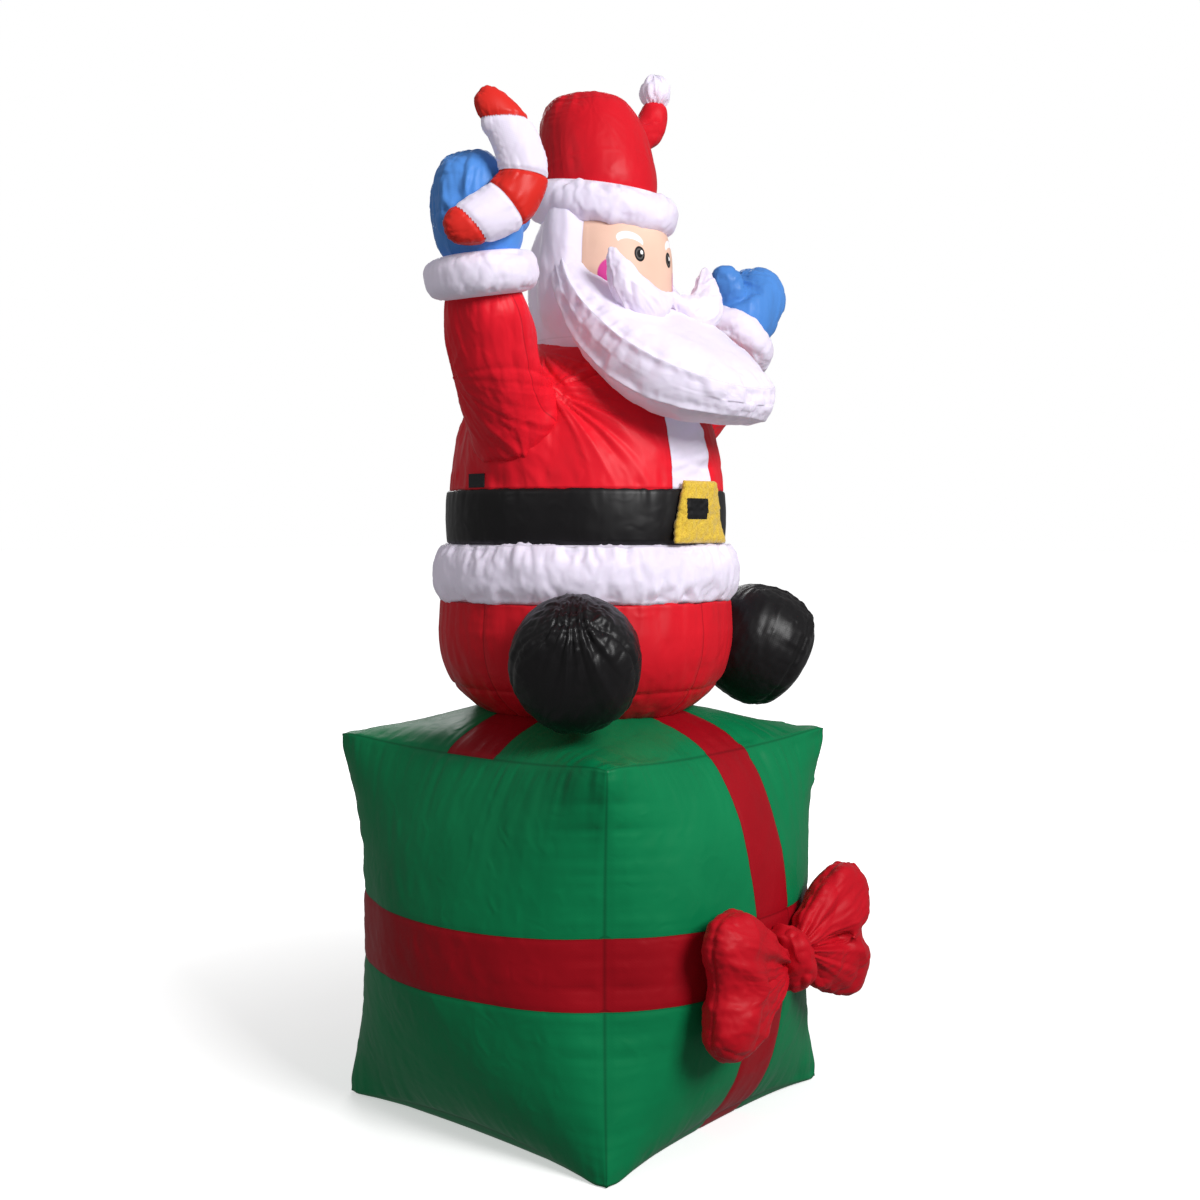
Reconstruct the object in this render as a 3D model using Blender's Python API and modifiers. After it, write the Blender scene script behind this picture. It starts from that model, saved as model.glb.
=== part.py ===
"""An inflatable santa that sits on an inflatable gift box, for a lawn or a porch.

Metres, +Z up. The origin is the centre of the gift box's flat underside, on the ground, and the
figure faces -Y. Right and left are the figure's own, so its right side is at -X.
Every chamber of sewn cloth is modelled as the solid that the air gives it.
"""

import bmesh
import bpy
import numpy as np
from math import cos, pi, radians, sin

# Gift box
BOX_SIDE = 0.600            # from corner to corner, along X and along Y
BOX_HEIGHT = 0.643          # height of the top corners
BOX_EDGE_PULL = 0.018       # how far the air pulls the middle of an upright edge in
BOX_RIM_PULL = 0.008        # the same for the edges round the top and the underside
BOX_FOOT_LIFT = 0.016       # how far the middle of a bottom edge lifts off the ground
BOX_SIDE_BULGE = 0.095      # how far the middle of a side face swells out
BOX_TOP_BULGE = 0.070       # how far the middle of the top rises over its corners
RIBBON_WIDTH = 0.107
RIBBON_OFFSET = 0.022       # of the upright ribbon, from the middle of the front
BOX_CELLS = 10              # mesh cells along each edge, an even number

# Bow
BOW_STANDOFF = 0.024        # from the box's face to the middle of the bow
BOW_LIFT = 0.022            # how much higher the left loop sits than the right one
BOW_DROP = 0.012            # of the knot, below the middle of the level ribbon
BOW_TURN = radians(14)      # of the knot, from upright
KNOT_WIDTH = 0.064
KNOT_HEIGHT = 0.108
KNOT_DEPTH = 0.088
LOOP_LENGTH = 0.232
LOOP_HEIGHT = 0.252
LOOP_DEPTH = 0.104
LOOP_SINK = 0.022           # how far a loop's root goes into the knot

# Body, as a stack of rings
BODY_RADIUS = 0.262         # widest part of the trousers
SEAT_SINK = 0.058           # how far the seat's round bottom presses into the box's top
SEAT_HEIGHT = 0.230         # from that bottom up to the hem
HEM_HEIGHT = 0.097
HEM_PUFF = 0.018            # how far its middle stands out past its two seams
HEM_TUCK = 0.006            # how far those seams are set back from the trousers
BELT_HEIGHT = 0.093
BELT_STEP = 0.013           # how far the belt is set back from the trousers' width
BELT_PUFF = 0.003           # how far its middle stands out past its two seams
COAT_HEIGHT = 0.270         # from the belt to the top of the shoulders
COAT_STEP = 0.006           # how far the coat is set back from the belt
COAT_SPRING = 0.075         # how far below the belt's top edge the coat's dome would begin
BODY_SIDES = 28

# Buckle and tether patch, applied on the body
BUCKLE_TOP_WIDTH = 0.084
BUCKLE_BOTTOM_WIDTH = 0.138
BUCKLE_HEIGHT = 0.104
BUCKLE_THICKNESS = 0.009
BUCKLE_RISE = 0.008         # of its middle, above the belt's middle
PATCH_WIDTH = 0.042
PATCH_HEIGHT = 0.023
PATCH_THICKNESS = 0.0025
PATCH_ANGLE = radians(98)   # from the front towards the figure's right
PATCH_RISE = 0.014          # above the belt's top edge

# Head and beard
HEAD_RADIUS = 0.126
HEAD_FORWARD = 0.035        # how far in front of the body's axis the head stands
HEAD_HEIGHT = 0.290
HEAD_SINK = 0.070           # how far the head's underside goes into the shoulders
LIP_RISE = 0.1145           # from the head's underside up to the lip, where the face begins
BEARD_WIDTH = 0.322
BEARD_DEPTH = 0.146
BEARD_REACH = 0.322         # how far its tip stands in front of the head's axis
BEARD_DROP = 0.135          # of its tip, below the top of the shoulders
BEARD_BACK = 0.022          # how far behind the head's axis it begins, at the ears
EAR_DROP = 0.004            # of that beginning, below the top of the head
THROAT_REACH = 0.066        # how far in front of the head's axis it bends forward
THROAT_DROP = 0.058         # of that bend, below the top of the shoulders
MOUSTACHE_LENGTH = 0.150
MOUSTACHE_HEIGHT = 0.066
MOUSTACHE_DEPTH = 0.064
MOUSTACHE_STANDOFF = 0.030  # of its root, in front of the head
MOUSTACHE_RISE = 0.012      # of its root, above the lip

# Hat
BRIM_RADIUS = 0.136
BRIM_HEIGHT = 0.080
BRIM_TILT = radians(10)     # down towards the front
HAT_RADIUS = 0.103
HAT_HEIGHT = 0.206
HAT_SINK = 0.045            # how far the hat goes into the brim
HAT_LEAN = 0.035            # how far back its top lies
HAT_TAPER = 0.26            # share of its radius that it loses from foot to top
TAIL_RADIUS = 0.029
TAIL_REACH = 0.068          # how far the tail's axis stands out from the hat's side
TAIL_RISE = 0.095
POMPOM_RADIUS = 0.031

# Arms, as the figure holds them. The right one is raised straighter.
SHOULDER_WIDTH = 0.170      # from the body's axis to the root of an arm
SHOULDER_DROP = 0.158       # from the top of the coat down to the root of an arm
SLEEVE_RADIUS = 0.071
CUFF_RADIUS = 0.088
CUFF_HEIGHT = 0.068
CUFF_SINK = 0.026           # how far a sleeve and a mitten go into the cuff
MITTEN_WIDTH = 0.150
MITTEN_DEPTH = 0.112
MITTEN_LENGTH = 0.178
THUMB_RADIUS = 0.031
THUMB_LENGTH = 0.092
RIGHT_SPREAD = 0.353        # from the body's axis out to the cuff
RIGHT_FORWARD = 0.093
RIGHT_RAISE = 0.055         # of the cuff, above the top of the coat
RIGHT_TILT = radians(10)    # of the hand, outwards from upright
LEFT_SPREAD = 0.326
LEFT_FORWARD = 0.078
LEFT_RAISE = 0.014
LEFT_TILT = radians(38)

# Candy cane
CANE_HEIGHT = 0.212         # between its two ends
CANE_BELLY = 0.094          # how far its middle stands out from the line between the ends
CANE_TILT = radians(14)     # of that line, from upright
CANE_WIDTH = 0.082
CANE_DEPTH = 0.060
CANE_TURN = radians(30)     # how far its flat side is turned from the front, outwards
CANE_ASIDE = 0.034          # from the hand's middle outwards to the line between its ends
CANE_RISE = 0.030           # from the hand's middle up to the middle of that line
CANE_SINK = 0.012           # how far it presses into the mitten
CANE_STRIPES = (0.13, 0.46, 0.70, 0.92)    # where one colour is sewn to the next, along its length

# Boots
BOOT_WIDTH = 0.222
BOOT_HEIGHT = 0.232         # from heel to toe
BOOT_DEPTH = 0.200          # from sole to ankle
BOOT_SPLAY = radians(52)    # how far each leg points outwards
BOOT_DROP = radians(28)     # how far the sole looks down
BOOT_STANDOFF = 0.056       # of the boot's middle, from the side of the trousers
BOOT_HANG = 0.086           # of that middle, below the hem

GAP = 0.0003                # between two pieces that are sewn together

WHITE = (0.80, 0.76, 0.86)
RED = (0.62, 0.012, 0.022)
ORANGE_RED = (0.80, 0.035, 0.030)
RIBBON_RED = (0.40, 0.006, 0.018)
GREEN = (0.005, 0.200, 0.075)
BLACK = (0.010, 0.011, 0.014)
BLUE = (0.045, 0.190, 0.640)
YELLOW = (0.90, 0.62, 0.06)
PEACH = (0.92, 0.55, 0.38)

# What follows from the sizes above
RIBBON_CELLS = 2.0 / BOX_CELLS     # the two middle cells of each face become the ribbon
SEAT_BOTTOM = BOX_HEIGHT + BOX_TOP_BULGE - SEAT_SINK
HEM_BOTTOM = SEAT_BOTTOM + SEAT_HEIGHT
BELT_BOTTOM = HEM_BOTTOM + HEM_HEIGHT
COAT_BOTTOM = BELT_BOTTOM + BELT_HEIGHT
COAT_TOP = COAT_BOTTOM + COAT_HEIGHT
HEAD_BOTTOM = COAT_TOP - HEAD_SINK
HEAD_TOP = HEAD_BOTTOM + HEAD_HEIGHT
BELT_RADIUS = BODY_RADIUS - BELT_STEP
COAT_RADIUS = BELT_RADIUS - COAT_STEP
LIP_LEVEL = HEAD_BOTTOM + LIP_RISE


def clear_scene():
    for thing in list(bpy.data.objects):
        bpy.data.objects.remove(thing, do_unlink=True)


def new_collection(name):
    """An empty collection of this name, linked to the scene."""
    group = bpy.data.collections.get(name) or bpy.data.collections.new(name)
    if name not in bpy.context.scene.collection.children:
        bpy.context.scene.collection.children.link(group)
    return group


def cloth(name, colour, roughness=0.42):
    """The material of one colour of cloth."""
    material = bpy.data.materials.get(name) or bpy.data.materials.new(name)
    material.use_nodes = True
    shader = material.node_tree.nodes["Principled BSDF"]
    shader.inputs["Base Color"].default_value = (*colour, 1.0)
    shader.inputs["Roughness"].default_value = roughness
    shader.inputs["Metallic"].default_value = 0.0
    return material


def add_piece(name, bm, *materials, crease=50):
    """A named object of the santa from a bmesh, shaded smooth up to the crease angle.

    It is made of triangles, so that a cutter taken from it has the very same faces.
    """
    bmesh.ops.recalc_face_normals(bm, faces=bm.faces)
    if bm.calc_volume(signed=True) < 0:
        bmesh.ops.reverse_faces(bm, faces=bm.faces)
    mesh = bpy.data.meshes.new(name)
    bm.to_mesh(mesh)
    bm.free()
    for material in materials:
        mesh.materials.append(material)
    mesh.shade_smooth()
    mesh.set_sharp_from_angle(angle=radians(crease))
    piece = bpy.data.objects.new(name, mesh)
    new_collection("inflatable_santa").objects.link(piece)
    piece.modifiers.new("Triangles", "TRIANGULATE")
    return piece


def grown_copy(carrier):
    """A cutter: the carrier as it is so far, swollen by the gap."""
    shape = carrier.evaluated_get(bpy.context.evaluated_depsgraph_get())
    mesh = bpy.data.meshes.new_from_object(shape)
    cutter = bpy.data.objects.new("grown_" + carrier.name, mesh)
    cutter.matrix_world = carrier.matrix_world
    swell = cutter.modifiers.new("Swell", "DISPLACE")
    swell.strength = 1.5 * GAP
    swell.mid_level = 0.0
    cutter.hide_render = True
    cutter.display_type = "WIRE"
    new_collection("cutters").objects.link(cutter)
    return cutter


def seat_against(piece, *carriers):
    """Cut a piece back to the faces of what it is sewn to."""
    bpy.context.view_layer.update()
    for carrier in carriers:
        cut = piece.modifiers.new("Seat on " + carrier.name, "BOOLEAN")
        cut.operation = "DIFFERENCE"
        cut.object = grown_copy(carrier)
    bpy.context.view_layer.update()
    return piece


def move_points(bm, place):
    """Move every vertex at once: place takes an array of points and gives the new ones."""
    start = np.array([vertex.co for vertex in bm.verts])
    for vertex, point in zip(bm.verts, place(start)):
        vertex.co = point


def round_power(value, power):
    """The signed power that squares off a circle into a superellipse."""
    return np.sign(value) * np.abs(value) ** power


def puff(name, shape, sides, rings, *materials):
    """A UV sphere reshaped: shape takes the polar angle and the angle round, and gives points."""
    bm = bmesh.new()
    bmesh.ops.create_uvsphere(bm, u_segments=sides, v_segments=rings, radius=1.0)

    def place(start):
        return shape(np.arccos(np.clip(start[:, 2], -1.0, 1.0)), np.arctan2(start[:, 1], start[:, 0]))

    move_points(bm, place)
    return add_piece(name, bm, *materials)


def along(path, across, half_width, half_depth, blunt, square=1.0):
    """The shape of a soft tube: the sphere's poles lie at the two ends of a path.

    path gives points for shares 0 to 1 of its length, across is the direction of the width,
    blunt is the power of the superellipse that closes the ends, and a square below 1 makes the
    cross-section boxier than an ellipse. A half width or depth is a length, or a function of the
    share that gives one.
    """
    def size(half, share):
        return half(share) if callable(half) else np.full_like(share, half)

    def shape(polar, around):
        share = 0.5 - 0.5 * round_power(np.cos(polar), 2.0 / blunt)
        reach = np.sin(polar) ** (2.0 / blunt)
        step = 1e-4
        tangent = path(share + step) - path(share - step)
        tangent /= np.linalg.norm(tangent, axis=1, keepdims=True)
        side = across - tangent * (tangent @ across)[:, None]
        side /= np.linalg.norm(side, axis=1, keepdims=True)
        out = np.cross(tangent, side)
        wide = (size(half_width, share) * reach * round_power(np.cos(around), square))[:, None]
        deep = (size(half_depth, share) * reach * round_power(np.sin(around), square))[:, None]
        return path(share) + side * wide + out * deep
    return shape


def bend(start, middle, end):
    """A quadratic curve from start to end, pulled towards middle."""
    start, middle, end = np.array(start), np.array(middle), np.array(end)

    def path(share):
        t = share[:, None]
        return (1 - t) ** 2 * start + 2 * t * (1 - t) * middle + t ** 2 * end
    return path


def turned(name, profile, sides, *materials):
    """A turned solid about Z: profile lists (radius, height) from the top down."""
    bm = bmesh.new()
    points = [bm.verts.new((radius, 0.0, height)) for radius, height in profile]
    for upper, lower in zip(points, points[1:]):
        bm.edges.new((upper, lower))
    mesh = bpy.data.meshes.new(name)
    bm.to_mesh(mesh)
    bm.free()
    for material in materials:
        mesh.materials.append(material)
    piece = bpy.data.objects.new(name, mesh)
    new_collection("inflatable_santa").objects.link(piece)
    turn = piece.modifiers.new("Turn", "SCREW")
    turn.steps = sides
    turn.render_steps = sides
    turn.use_merge_vertices = True
    turn.merge_threshold = 0.00005
    turn.use_smooth_shade = True
    return piece


def swelling(low, high, radius, proud, rows):
    """Profile points of a puffed ring between two heights, from the top down."""
    shares = [row / rows for row in range(rows + 1)]
    outer = [(radius + proud * (1 - abs(2 * share - 1) ** 2.6), high + (low - high) * share)
             for share in shares]
    return [(0.0, high)] + outer + [(0.0, low)]


def swollen(u, v, bulge):
    """How far a face of the box stands out past its corners, at shares u and v across it."""
    return bulge * ((1 - u ** 2) * (1 - v ** 2)) ** 0.6


def side_swell(u, height):
    """The same for a side face, less what its upright edges and its rims are pulled in."""
    upright = BOX_EDGE_PULL * (1 - height ** 2) * u ** 2
    rim = BOX_RIM_PULL * (1 - u ** 2) * height ** 2
    return swollen(u, height, BOX_SIDE_BULGE) - upright - rim


def box_surface(points):
    """Inflate a cube of side 2 into the gift box, face by face.

    The middle of a face swells out and its edges are pulled in. The underside is flat where it
    stands on the ground, and the middles of its edges lift off.
    """
    ribbon, offset = RIBBON_WIDTH / BOX_SIDE, 2 * RIBBON_OFFSET / BOX_SIDE
    u, v, w = np.interp(points, [-1, -RIBBON_CELLS, RIBBON_CELLS, 1], [-1, -ribbon, ribbon, 1]).T
    u = u + offset * (1 - u ** 2)
    x = u * (BOX_SIDE / 2 + side_swell(v, w))
    y = v * (BOX_SIDE / 2 + side_swell(u, w))
    rim = (1 - u ** 2) * v ** 2 + (1 - v ** 2) * u ** 2
    above = BOX_HEIGHT / 2 + swollen(u, v, BOX_TOP_BULGE) - BOX_RIM_PULL * rim
    below = BOX_HEIGHT / 2 + swollen(u, v, BOX_SIDE_BULGE) - BOX_FOOT_LIFT * rim
    z = BOX_HEIGHT / 2 + w * np.where(w > 0, above, below)
    return np.stack([x, y, np.clip(z, 0.0, None)], axis=1)


def box_face_y(x, height):
    """Where the front face of the box stands, at a distance from its middle and a height."""
    return -(BOX_SIDE / 2 + side_swell(x / (BOX_SIDE / 2), height / (BOX_HEIGHT / 2) - 1))


def make_gift_box():
    bm = bmesh.new()
    bmesh.ops.create_cube(bm, size=2.0)
    bmesh.ops.subdivide_edges(bm, edges=bm.edges, cuts=BOX_CELLS - 1, use_grid_fill=True)
    for face in bm.faces:
        centre, normal = face.calc_center_median(), face.normal
        front_strip = abs(centre.x) < RIBBON_CELLS and abs(normal.x) < 0.5
        level_strip = abs(centre.z) < RIBBON_CELLS and abs(normal.z) < 0.5
        cross_strip = abs(centre.y) < RIBBON_CELLS and normal.z > 0.5
        face.material_index = int(front_strip or level_strip or cross_strip)
    move_points(bm, box_surface)
    return add_piece("gift_box", bm, cloth("green cloth", GREEN), cloth("ribbon cloth", RIBBON_RED))


def loop_shape(side, middle):
    """A bow loop: a pillow whose outline is a heart on its side, with its point in the knot."""
    def shape(polar, around):
        reach = np.sin(polar) ** 0.8
        notch = np.exp(-((around / 0.42) ** 2))
        open_end = (0.5 + 0.5 * np.cos(around)) ** 0.42
        outwards = LOOP_LENGTH / 2 * (np.cos(around) - 0.30 * notch)
        upwards = LOOP_HEIGHT / 2 * 1.16 * np.sin(around) * open_end
        pinch = 1 - 0.45 * notch * reach ** 2
        x = side * (LOOP_LENGTH / 2 + outwards * reach)
        z = upwards * reach
        y = LOOP_DEPTH / 2 * round_power(np.cos(polar), 0.9) * pinch * (0.45 + 0.55 * open_end)
        return np.stack([x, y, z], axis=1) + middle
    return shape


def make_bow(box):
    red = cloth("bow cloth", RIBBON_RED)
    level = BOX_HEIGHT / 2
    heart = np.array([RIBBON_OFFSET, box_face_y(0.0, level) - BOW_STANDOFF, level - BOW_DROP])
    across = np.array([cos(BOW_TURN), 0.0, sin(BOW_TURN)])
    upright = np.array([-sin(BOW_TURN), 0.0, cos(BOW_TURN)]) * KNOT_HEIGHT / 2
    knot = puff("bow_knot", along(bend(heart + upright, heart, heart - upright), across,
                                  KNOT_WIDTH / 2, KNOT_DEPTH / 2, 2.6), 12, 8, red)
    for side, name, lift in ((-1, "bow_loop_right", -0.4 * BOW_LIFT), (1, "bow_loop_left", 0.6 * BOW_LIFT)):
        root = heart + np.array([side * (KNOT_WIDTH / 2 - LOOP_SINK), 0.0, lift])
        loop = puff(name, loop_shape(side, root), 16, 8, red)
        seat_against(loop, knot, box)
    seat_against(knot, box)


def seat_profile():
    """The trousers: a round bottom that stands almost upright under the hem."""
    rise, power, steps = 0.78 * SEAT_HEIGHT, 2.4, 7
    profile = [(0.0, HEM_BOTTOM - GAP), (0.975 * BODY_RADIUS, HEM_BOTTOM - GAP)]
    for step in range(steps):
        turn = step / steps * pi / 2
        height = SEAT_BOTTOM + rise * (1 - sin(turn) ** (2 / power))
        profile.append((BODY_RADIUS * cos(turn) ** (2 / power), height))
    return profile + [(0.0, SEAT_BOTTOM)]


def coat_radius(height):
    """The coat's radius at a height: a blunt dome that closes over the shoulders."""
    share = (height - COAT_BOTTOM + COAT_SPRING) / (COAT_HEIGHT + COAT_SPRING)
    return 1.009 * COAT_RADIUS * (1 - share ** 2.5) ** 0.4


def coat_profile():
    steps = 8
    turns = [pi / 2 * step / steps for step in range(1, steps)]
    heights = [COAT_TOP - COAT_HEIGHT * (1 - cos(turn)) ** 0.9 for turn in turns] + [COAT_BOTTOM + GAP]
    dome = [(coat_radius(height), height) for height in heights]
    return [(0.0, COAT_TOP)] + dome + [(0.0, COAT_BOTTOM + GAP)]


def make_body(box):
    red, white, black = cloth("coat cloth", RED), cloth("white cloth", WHITE), cloth("black cloth", BLACK)
    seat = turned("seat", seat_profile(), BODY_SIDES, red)
    seat_against(seat, box)
    hem = turned("hem", swelling(HEM_BOTTOM, BELT_BOTTOM - GAP, BODY_RADIUS - HEM_TUCK, HEM_PUFF, 6),
                 BODY_SIDES, white)
    belt = turned("belt", swelling(BELT_BOTTOM, COAT_BOTTOM, BELT_RADIUS - BELT_PUFF, BELT_PUFF, 2),
                  BODY_SIDES, black)
    coat = turned("coat", coat_profile(), BODY_SIDES, red)
    bpy.context.view_layer.update()
    return seat, hem, belt, coat


def applied_plate(name, outline, radius, thickness, angle, *materials):
    """A thin patch that wraps the body: a flat outline bent round the body's axis.

    outline lists (along, height) from the patch's middle line, and the patch's back lies just
    inside the body's surface, so that it can be cut to fit.
    """
    bm = bmesh.new()
    ring = [bm.verts.new((along, 0.0, height)) for along, height in outline]
    bm.faces.new(ring)
    bmesh.ops.triangulate(bm, faces=bm.faces)
    bmesh.ops.subdivide_edges(bm, edges=bm.edges, cuts=2, use_grid_fill=True)
    flat = list(bm.faces)
    raised = bmesh.ops.extrude_face_region(bm, geom=flat)
    for thing in raised["geom"]:
        if isinstance(thing, bmesh.types.BMVert):
            thing.co.y = 1.0

    def place(start):
        turn = start[:, 0] / radius - angle
        reach = radius - 2.5 * thickness + 3.5 * thickness * start[:, 1]
        return np.stack([reach * np.sin(turn), -reach * np.cos(turn), start[:, 2]], axis=1)

    move_points(bm, place)
    return add_piece(name, bm, *materials, crease=30)


def make_patches(hem, belt, coat):
    top, low, half = BUCKLE_TOP_WIDTH / 2, BUCKLE_BOTTOM_WIDTH / 2, BUCKLE_HEIGHT / 2
    middle = BELT_BOTTOM + BELT_HEIGHT / 2 + BUCKLE_RISE
    outline = [(-top, middle + half), (top, middle + half), (low, middle - half), (-low, middle - half)]
    buckle = applied_plate("buckle", outline, BELT_RADIUS, BUCKLE_THICKNESS, 0.0,
                           cloth("yellow plush", YELLOW, 0.9))
    seat_against(buckle, belt, coat, hem)
    height = COAT_BOTTOM + PATCH_RISE
    half_w, half_h = PATCH_WIDTH / 2, PATCH_HEIGHT / 2
    outline = [(-half_w, height + half_h), (half_w, height + half_h), (half_w, height - half_h),
               (-half_w, height - half_h)]
    patch = applied_plate("tether_patch", outline, coat_radius(height), PATCH_THICKNESS, PATCH_ANGLE,
                          cloth("black webbing", BLACK, 0.7))
    seat_against(patch, coat)


def boot_shape(side):
    """A boot: an egg that is flatter at the sole and narrower at the heel."""
    outwards = np.array([side * sin(BOOT_SPLAY), -cos(BOOT_SPLAY), 0.0])
    up = np.array([0.0, 0.0, 1.0])
    sole = outwards * cos(BOOT_DROP) - up * sin(BOOT_DROP)
    toe = outwards * sin(BOOT_DROP) + up * cos(BOOT_DROP)
    across = np.cross(toe, sole)
    middle = outwards * (BODY_RADIUS + BOOT_STANDOFF) + up * (HEM_BOTTOM - BOOT_HANG)

    def shape(polar, around):
        depth = round_power(np.cos(polar), 0.80)
        reach = np.sin(polar) ** 0.80
        reach = reach * (1 - 0.14 * (0.5 - 0.5 * depth))
        tall = np.cos(around) * BOOT_HEIGHT / 2
        wide = np.sin(around) * BOOT_WIDTH / 2 * (1 + 0.06 * np.cos(around))
        return (middle + (depth * BOOT_DEPTH / 2)[:, None] * sole
                + (reach * tall)[:, None] * toe + (reach * wide)[:, None] * across)
    return shape


def make_boots(hem, seat, box):
    black = cloth("boot cloth", BLACK)
    for side, name in ((-1, "boot_right"), (1, "boot_left")):
        boot = puff(name, boot_shape(side), 16, 10, black)
        seat_against(boot, hem, seat, box)


def make_head(coat):
    """The head: a barrel of white cloth, closed by flat domes, with its foot in the shoulders."""
    middle = np.array([0.0, -HEAD_FORWARD, (HEAD_BOTTOM + HEAD_TOP) / 2])

    def shape(polar, around):
        tall = round_power(np.cos(polar), 0.62)
        reach = np.sin(polar) ** 0.40 * (1 - 0.05 * tall ** 2)
        ring = np.stack([np.sin(around), -np.cos(around), np.zeros_like(around)], axis=1)
        return middle + ring * (HEAD_RADIUS * reach)[:, None] + np.outer(tall * HEAD_HEIGHT / 2, [0, 0, 1])

    head = puff("head", shape, 24, 10, cloth("white cloth", WHITE), cloth("face cloth", PEACH))
    for face in head.data.polygons:
        centre = face.center
        turn = np.arctan2(-centre.x, -(centre.y + HEAD_FORWARD))
        face.material_index = int(abs(turn) < radians(64) and centre.z > LIP_LEVEL)
    return seat_against(head, coat)


def beard_shape():
    """The beard: a flat puff that leaves the ears almost upright and bends forward to its tip.

    It is thin beside the face, so that the face shows, thickest under the mouth, and thinner again
    at its tip.
    """
    ears = (0.0, BEARD_BACK - HEAD_FORWARD, HEAD_TOP - EAR_DROP)
    throat = (0.0, -HEAD_FORWARD - THROAT_REACH, COAT_TOP - THROAT_DROP)
    tip = (0.0, -HEAD_FORWARD - BEARD_REACH, COAT_TOP - BEARD_DROP)

    def half_width(share):
        return BEARD_WIDTH / 2 * (0.96 + 0.42 * share * (1 - share))

    def half_depth(share):
        tip_share = np.clip((share - 0.78) / 0.22, 0.0, 1.0)
        return BEARD_DEPTH / 2 * (0.50 + 0.50 / (1 + np.exp(-14 * (share - 0.44)))) * (1 - 0.24 * tip_share ** 2)

    return along(bend(ears, throat, tip), np.array([1.0, 0.0, 0.0]), half_width, half_depth, 2.7, square=0.72)


def moustache_shape(side):
    """One side of the moustache: a leaf that leaves the lip, hangs, and turns up at its tip."""
    lip = np.array([0.0, -HEAD_FORWARD - HEAD_RADIUS - MOUSTACHE_STANDOFF, LIP_LEVEL + MOUSTACHE_RISE])
    sag = np.array([0.68 * side, -0.09, -0.47]) * MOUSTACHE_LENGTH
    tip = np.array([0.86 * side, 0.17, 0.43]) * MOUSTACHE_LENGTH

    def plump(share):
        return 0.50 + 0.50 * np.sin(pi * np.clip(share, 0, 1) ** 0.9)

    return along(bend(lip, lip + sag, lip + tip), np.array([0.0, 1.0, 0.0]),
                 lambda share: MOUSTACHE_DEPTH / 2 * plump(share),
                 lambda share: MOUSTACHE_HEIGHT / 2 * plump(share), 2.3)


def make_beard(head, coat):
    white = cloth("white cloth", WHITE)
    beard = puff("beard", beard_shape(), 26, 12, white)
    right = puff("moustache_right", moustache_shape(-1), 14, 10, white)
    left = puff("moustache_left", moustache_shape(1), 14, 10, white)
    seat_against(left, head, beard, right)
    seat_against(right, head, beard)
    seat_against(beard, head, coat)
    return beard


def make_hat(head, beard):
    red, white = cloth("coat cloth", RED), cloth("white cloth", WHITE)
    middle = np.array([0.0, -HEAD_FORWARD, HEAD_TOP])
    aside, up = np.array([1.0, 0.0, 0.0]), np.array([0.0, 0.0, 1.0])
    back = np.array([0.0, cos(BRIM_TILT), sin(BRIM_TILT)])
    crown = np.array([0.0, -sin(BRIM_TILT), cos(BRIM_TILT)])

    def brim_shape(polar, around):
        reach = np.sin(polar) ** 0.36 * BRIM_RADIUS
        tall = round_power(np.cos(polar), 0.85) * BRIM_HEIGHT / 2
        return (middle + np.outer(reach * np.cos(around), aside) + np.outer(reach * np.sin(around), back)
                + np.outer(tall, crown))

    foot = middle + crown * (BRIM_HEIGHT / 2 - HAT_SINK)

    def hat_shape(polar, around):
        tall = 0.5 + 0.5 * round_power(np.cos(polar), 0.55)
        reach = HAT_RADIUS * np.sin(polar) ** 0.42 * (1.05 - HAT_TAPER * tall ** 1.6)
        backwards = reach * np.sin(around) + HAT_LEAN * tall ** 1.5
        return (foot + np.outer(reach * np.cos(around), aside) + np.outer(backwards, [0, 1, 0])
                + np.outer(tall * HAT_HEIGHT, up))

    root = foot + aside * 0.55 * HAT_RADIUS + [0.0, 0.6 * HAT_LEAN, 0.77 * HAT_HEIGHT]
    elbow = root + aside * (0.45 * HAT_RADIUS + TAIL_REACH) - up * 0.32 * TAIL_REACH
    tip = elbow + up * TAIL_RISE + [0.06 * TAIL_REACH, -0.06 * TAIL_REACH, 0.0]
    ball = tip + up * 0.6 * POMPOM_RADIUS

    def pompom_shape(polar, around):
        level = np.sin(polar) * POMPOM_RADIUS
        return ball + np.stack([level * np.cos(around), level * np.sin(around),
                                np.cos(polar) * POMPOM_RADIUS], axis=1)

    brim = puff("hat_brim", brim_shape, 22, 8, white)
    hat = puff("hat", hat_shape, 24, 10, red)
    tail = puff("hat_tail", along(bend(root, elbow, tip), np.array([0.0, 1.0, 0.0]),
                                  TAIL_RADIUS, TAIL_RADIUS, 4.0), 12, 10, red)
    pompom = puff("pompom", pompom_shape, 12, 8, white)
    seat_against(pompom, tail)
    seat_against(tail, hat)
    seat_against(hat, brim, head)
    seat_against(brim, head, beard)
    return brim


def arm_frame(side):
    """The cuff's middle and the hand's own directions: along its fingers, to its thumb, out of its palm."""
    if side < 0:
        spread, forward, rise, tilt = RIGHT_SPREAD, RIGHT_FORWARD, RIGHT_RAISE, RIGHT_TILT
    else:
        spread, forward, rise, tilt = LEFT_SPREAD, LEFT_FORWARD, LEFT_RAISE, LEFT_TILT
    middle = np.array([side * spread, -forward, COAT_TOP + rise])
    fingers = np.array([side * sin(tilt), 0.0, cos(tilt)])
    thumb = np.array([-side * cos(tilt), 0.0, sin(tilt)])
    palm = np.array([0.0, -1.0, 0.0])
    return middle, fingers, thumb, palm


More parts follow.
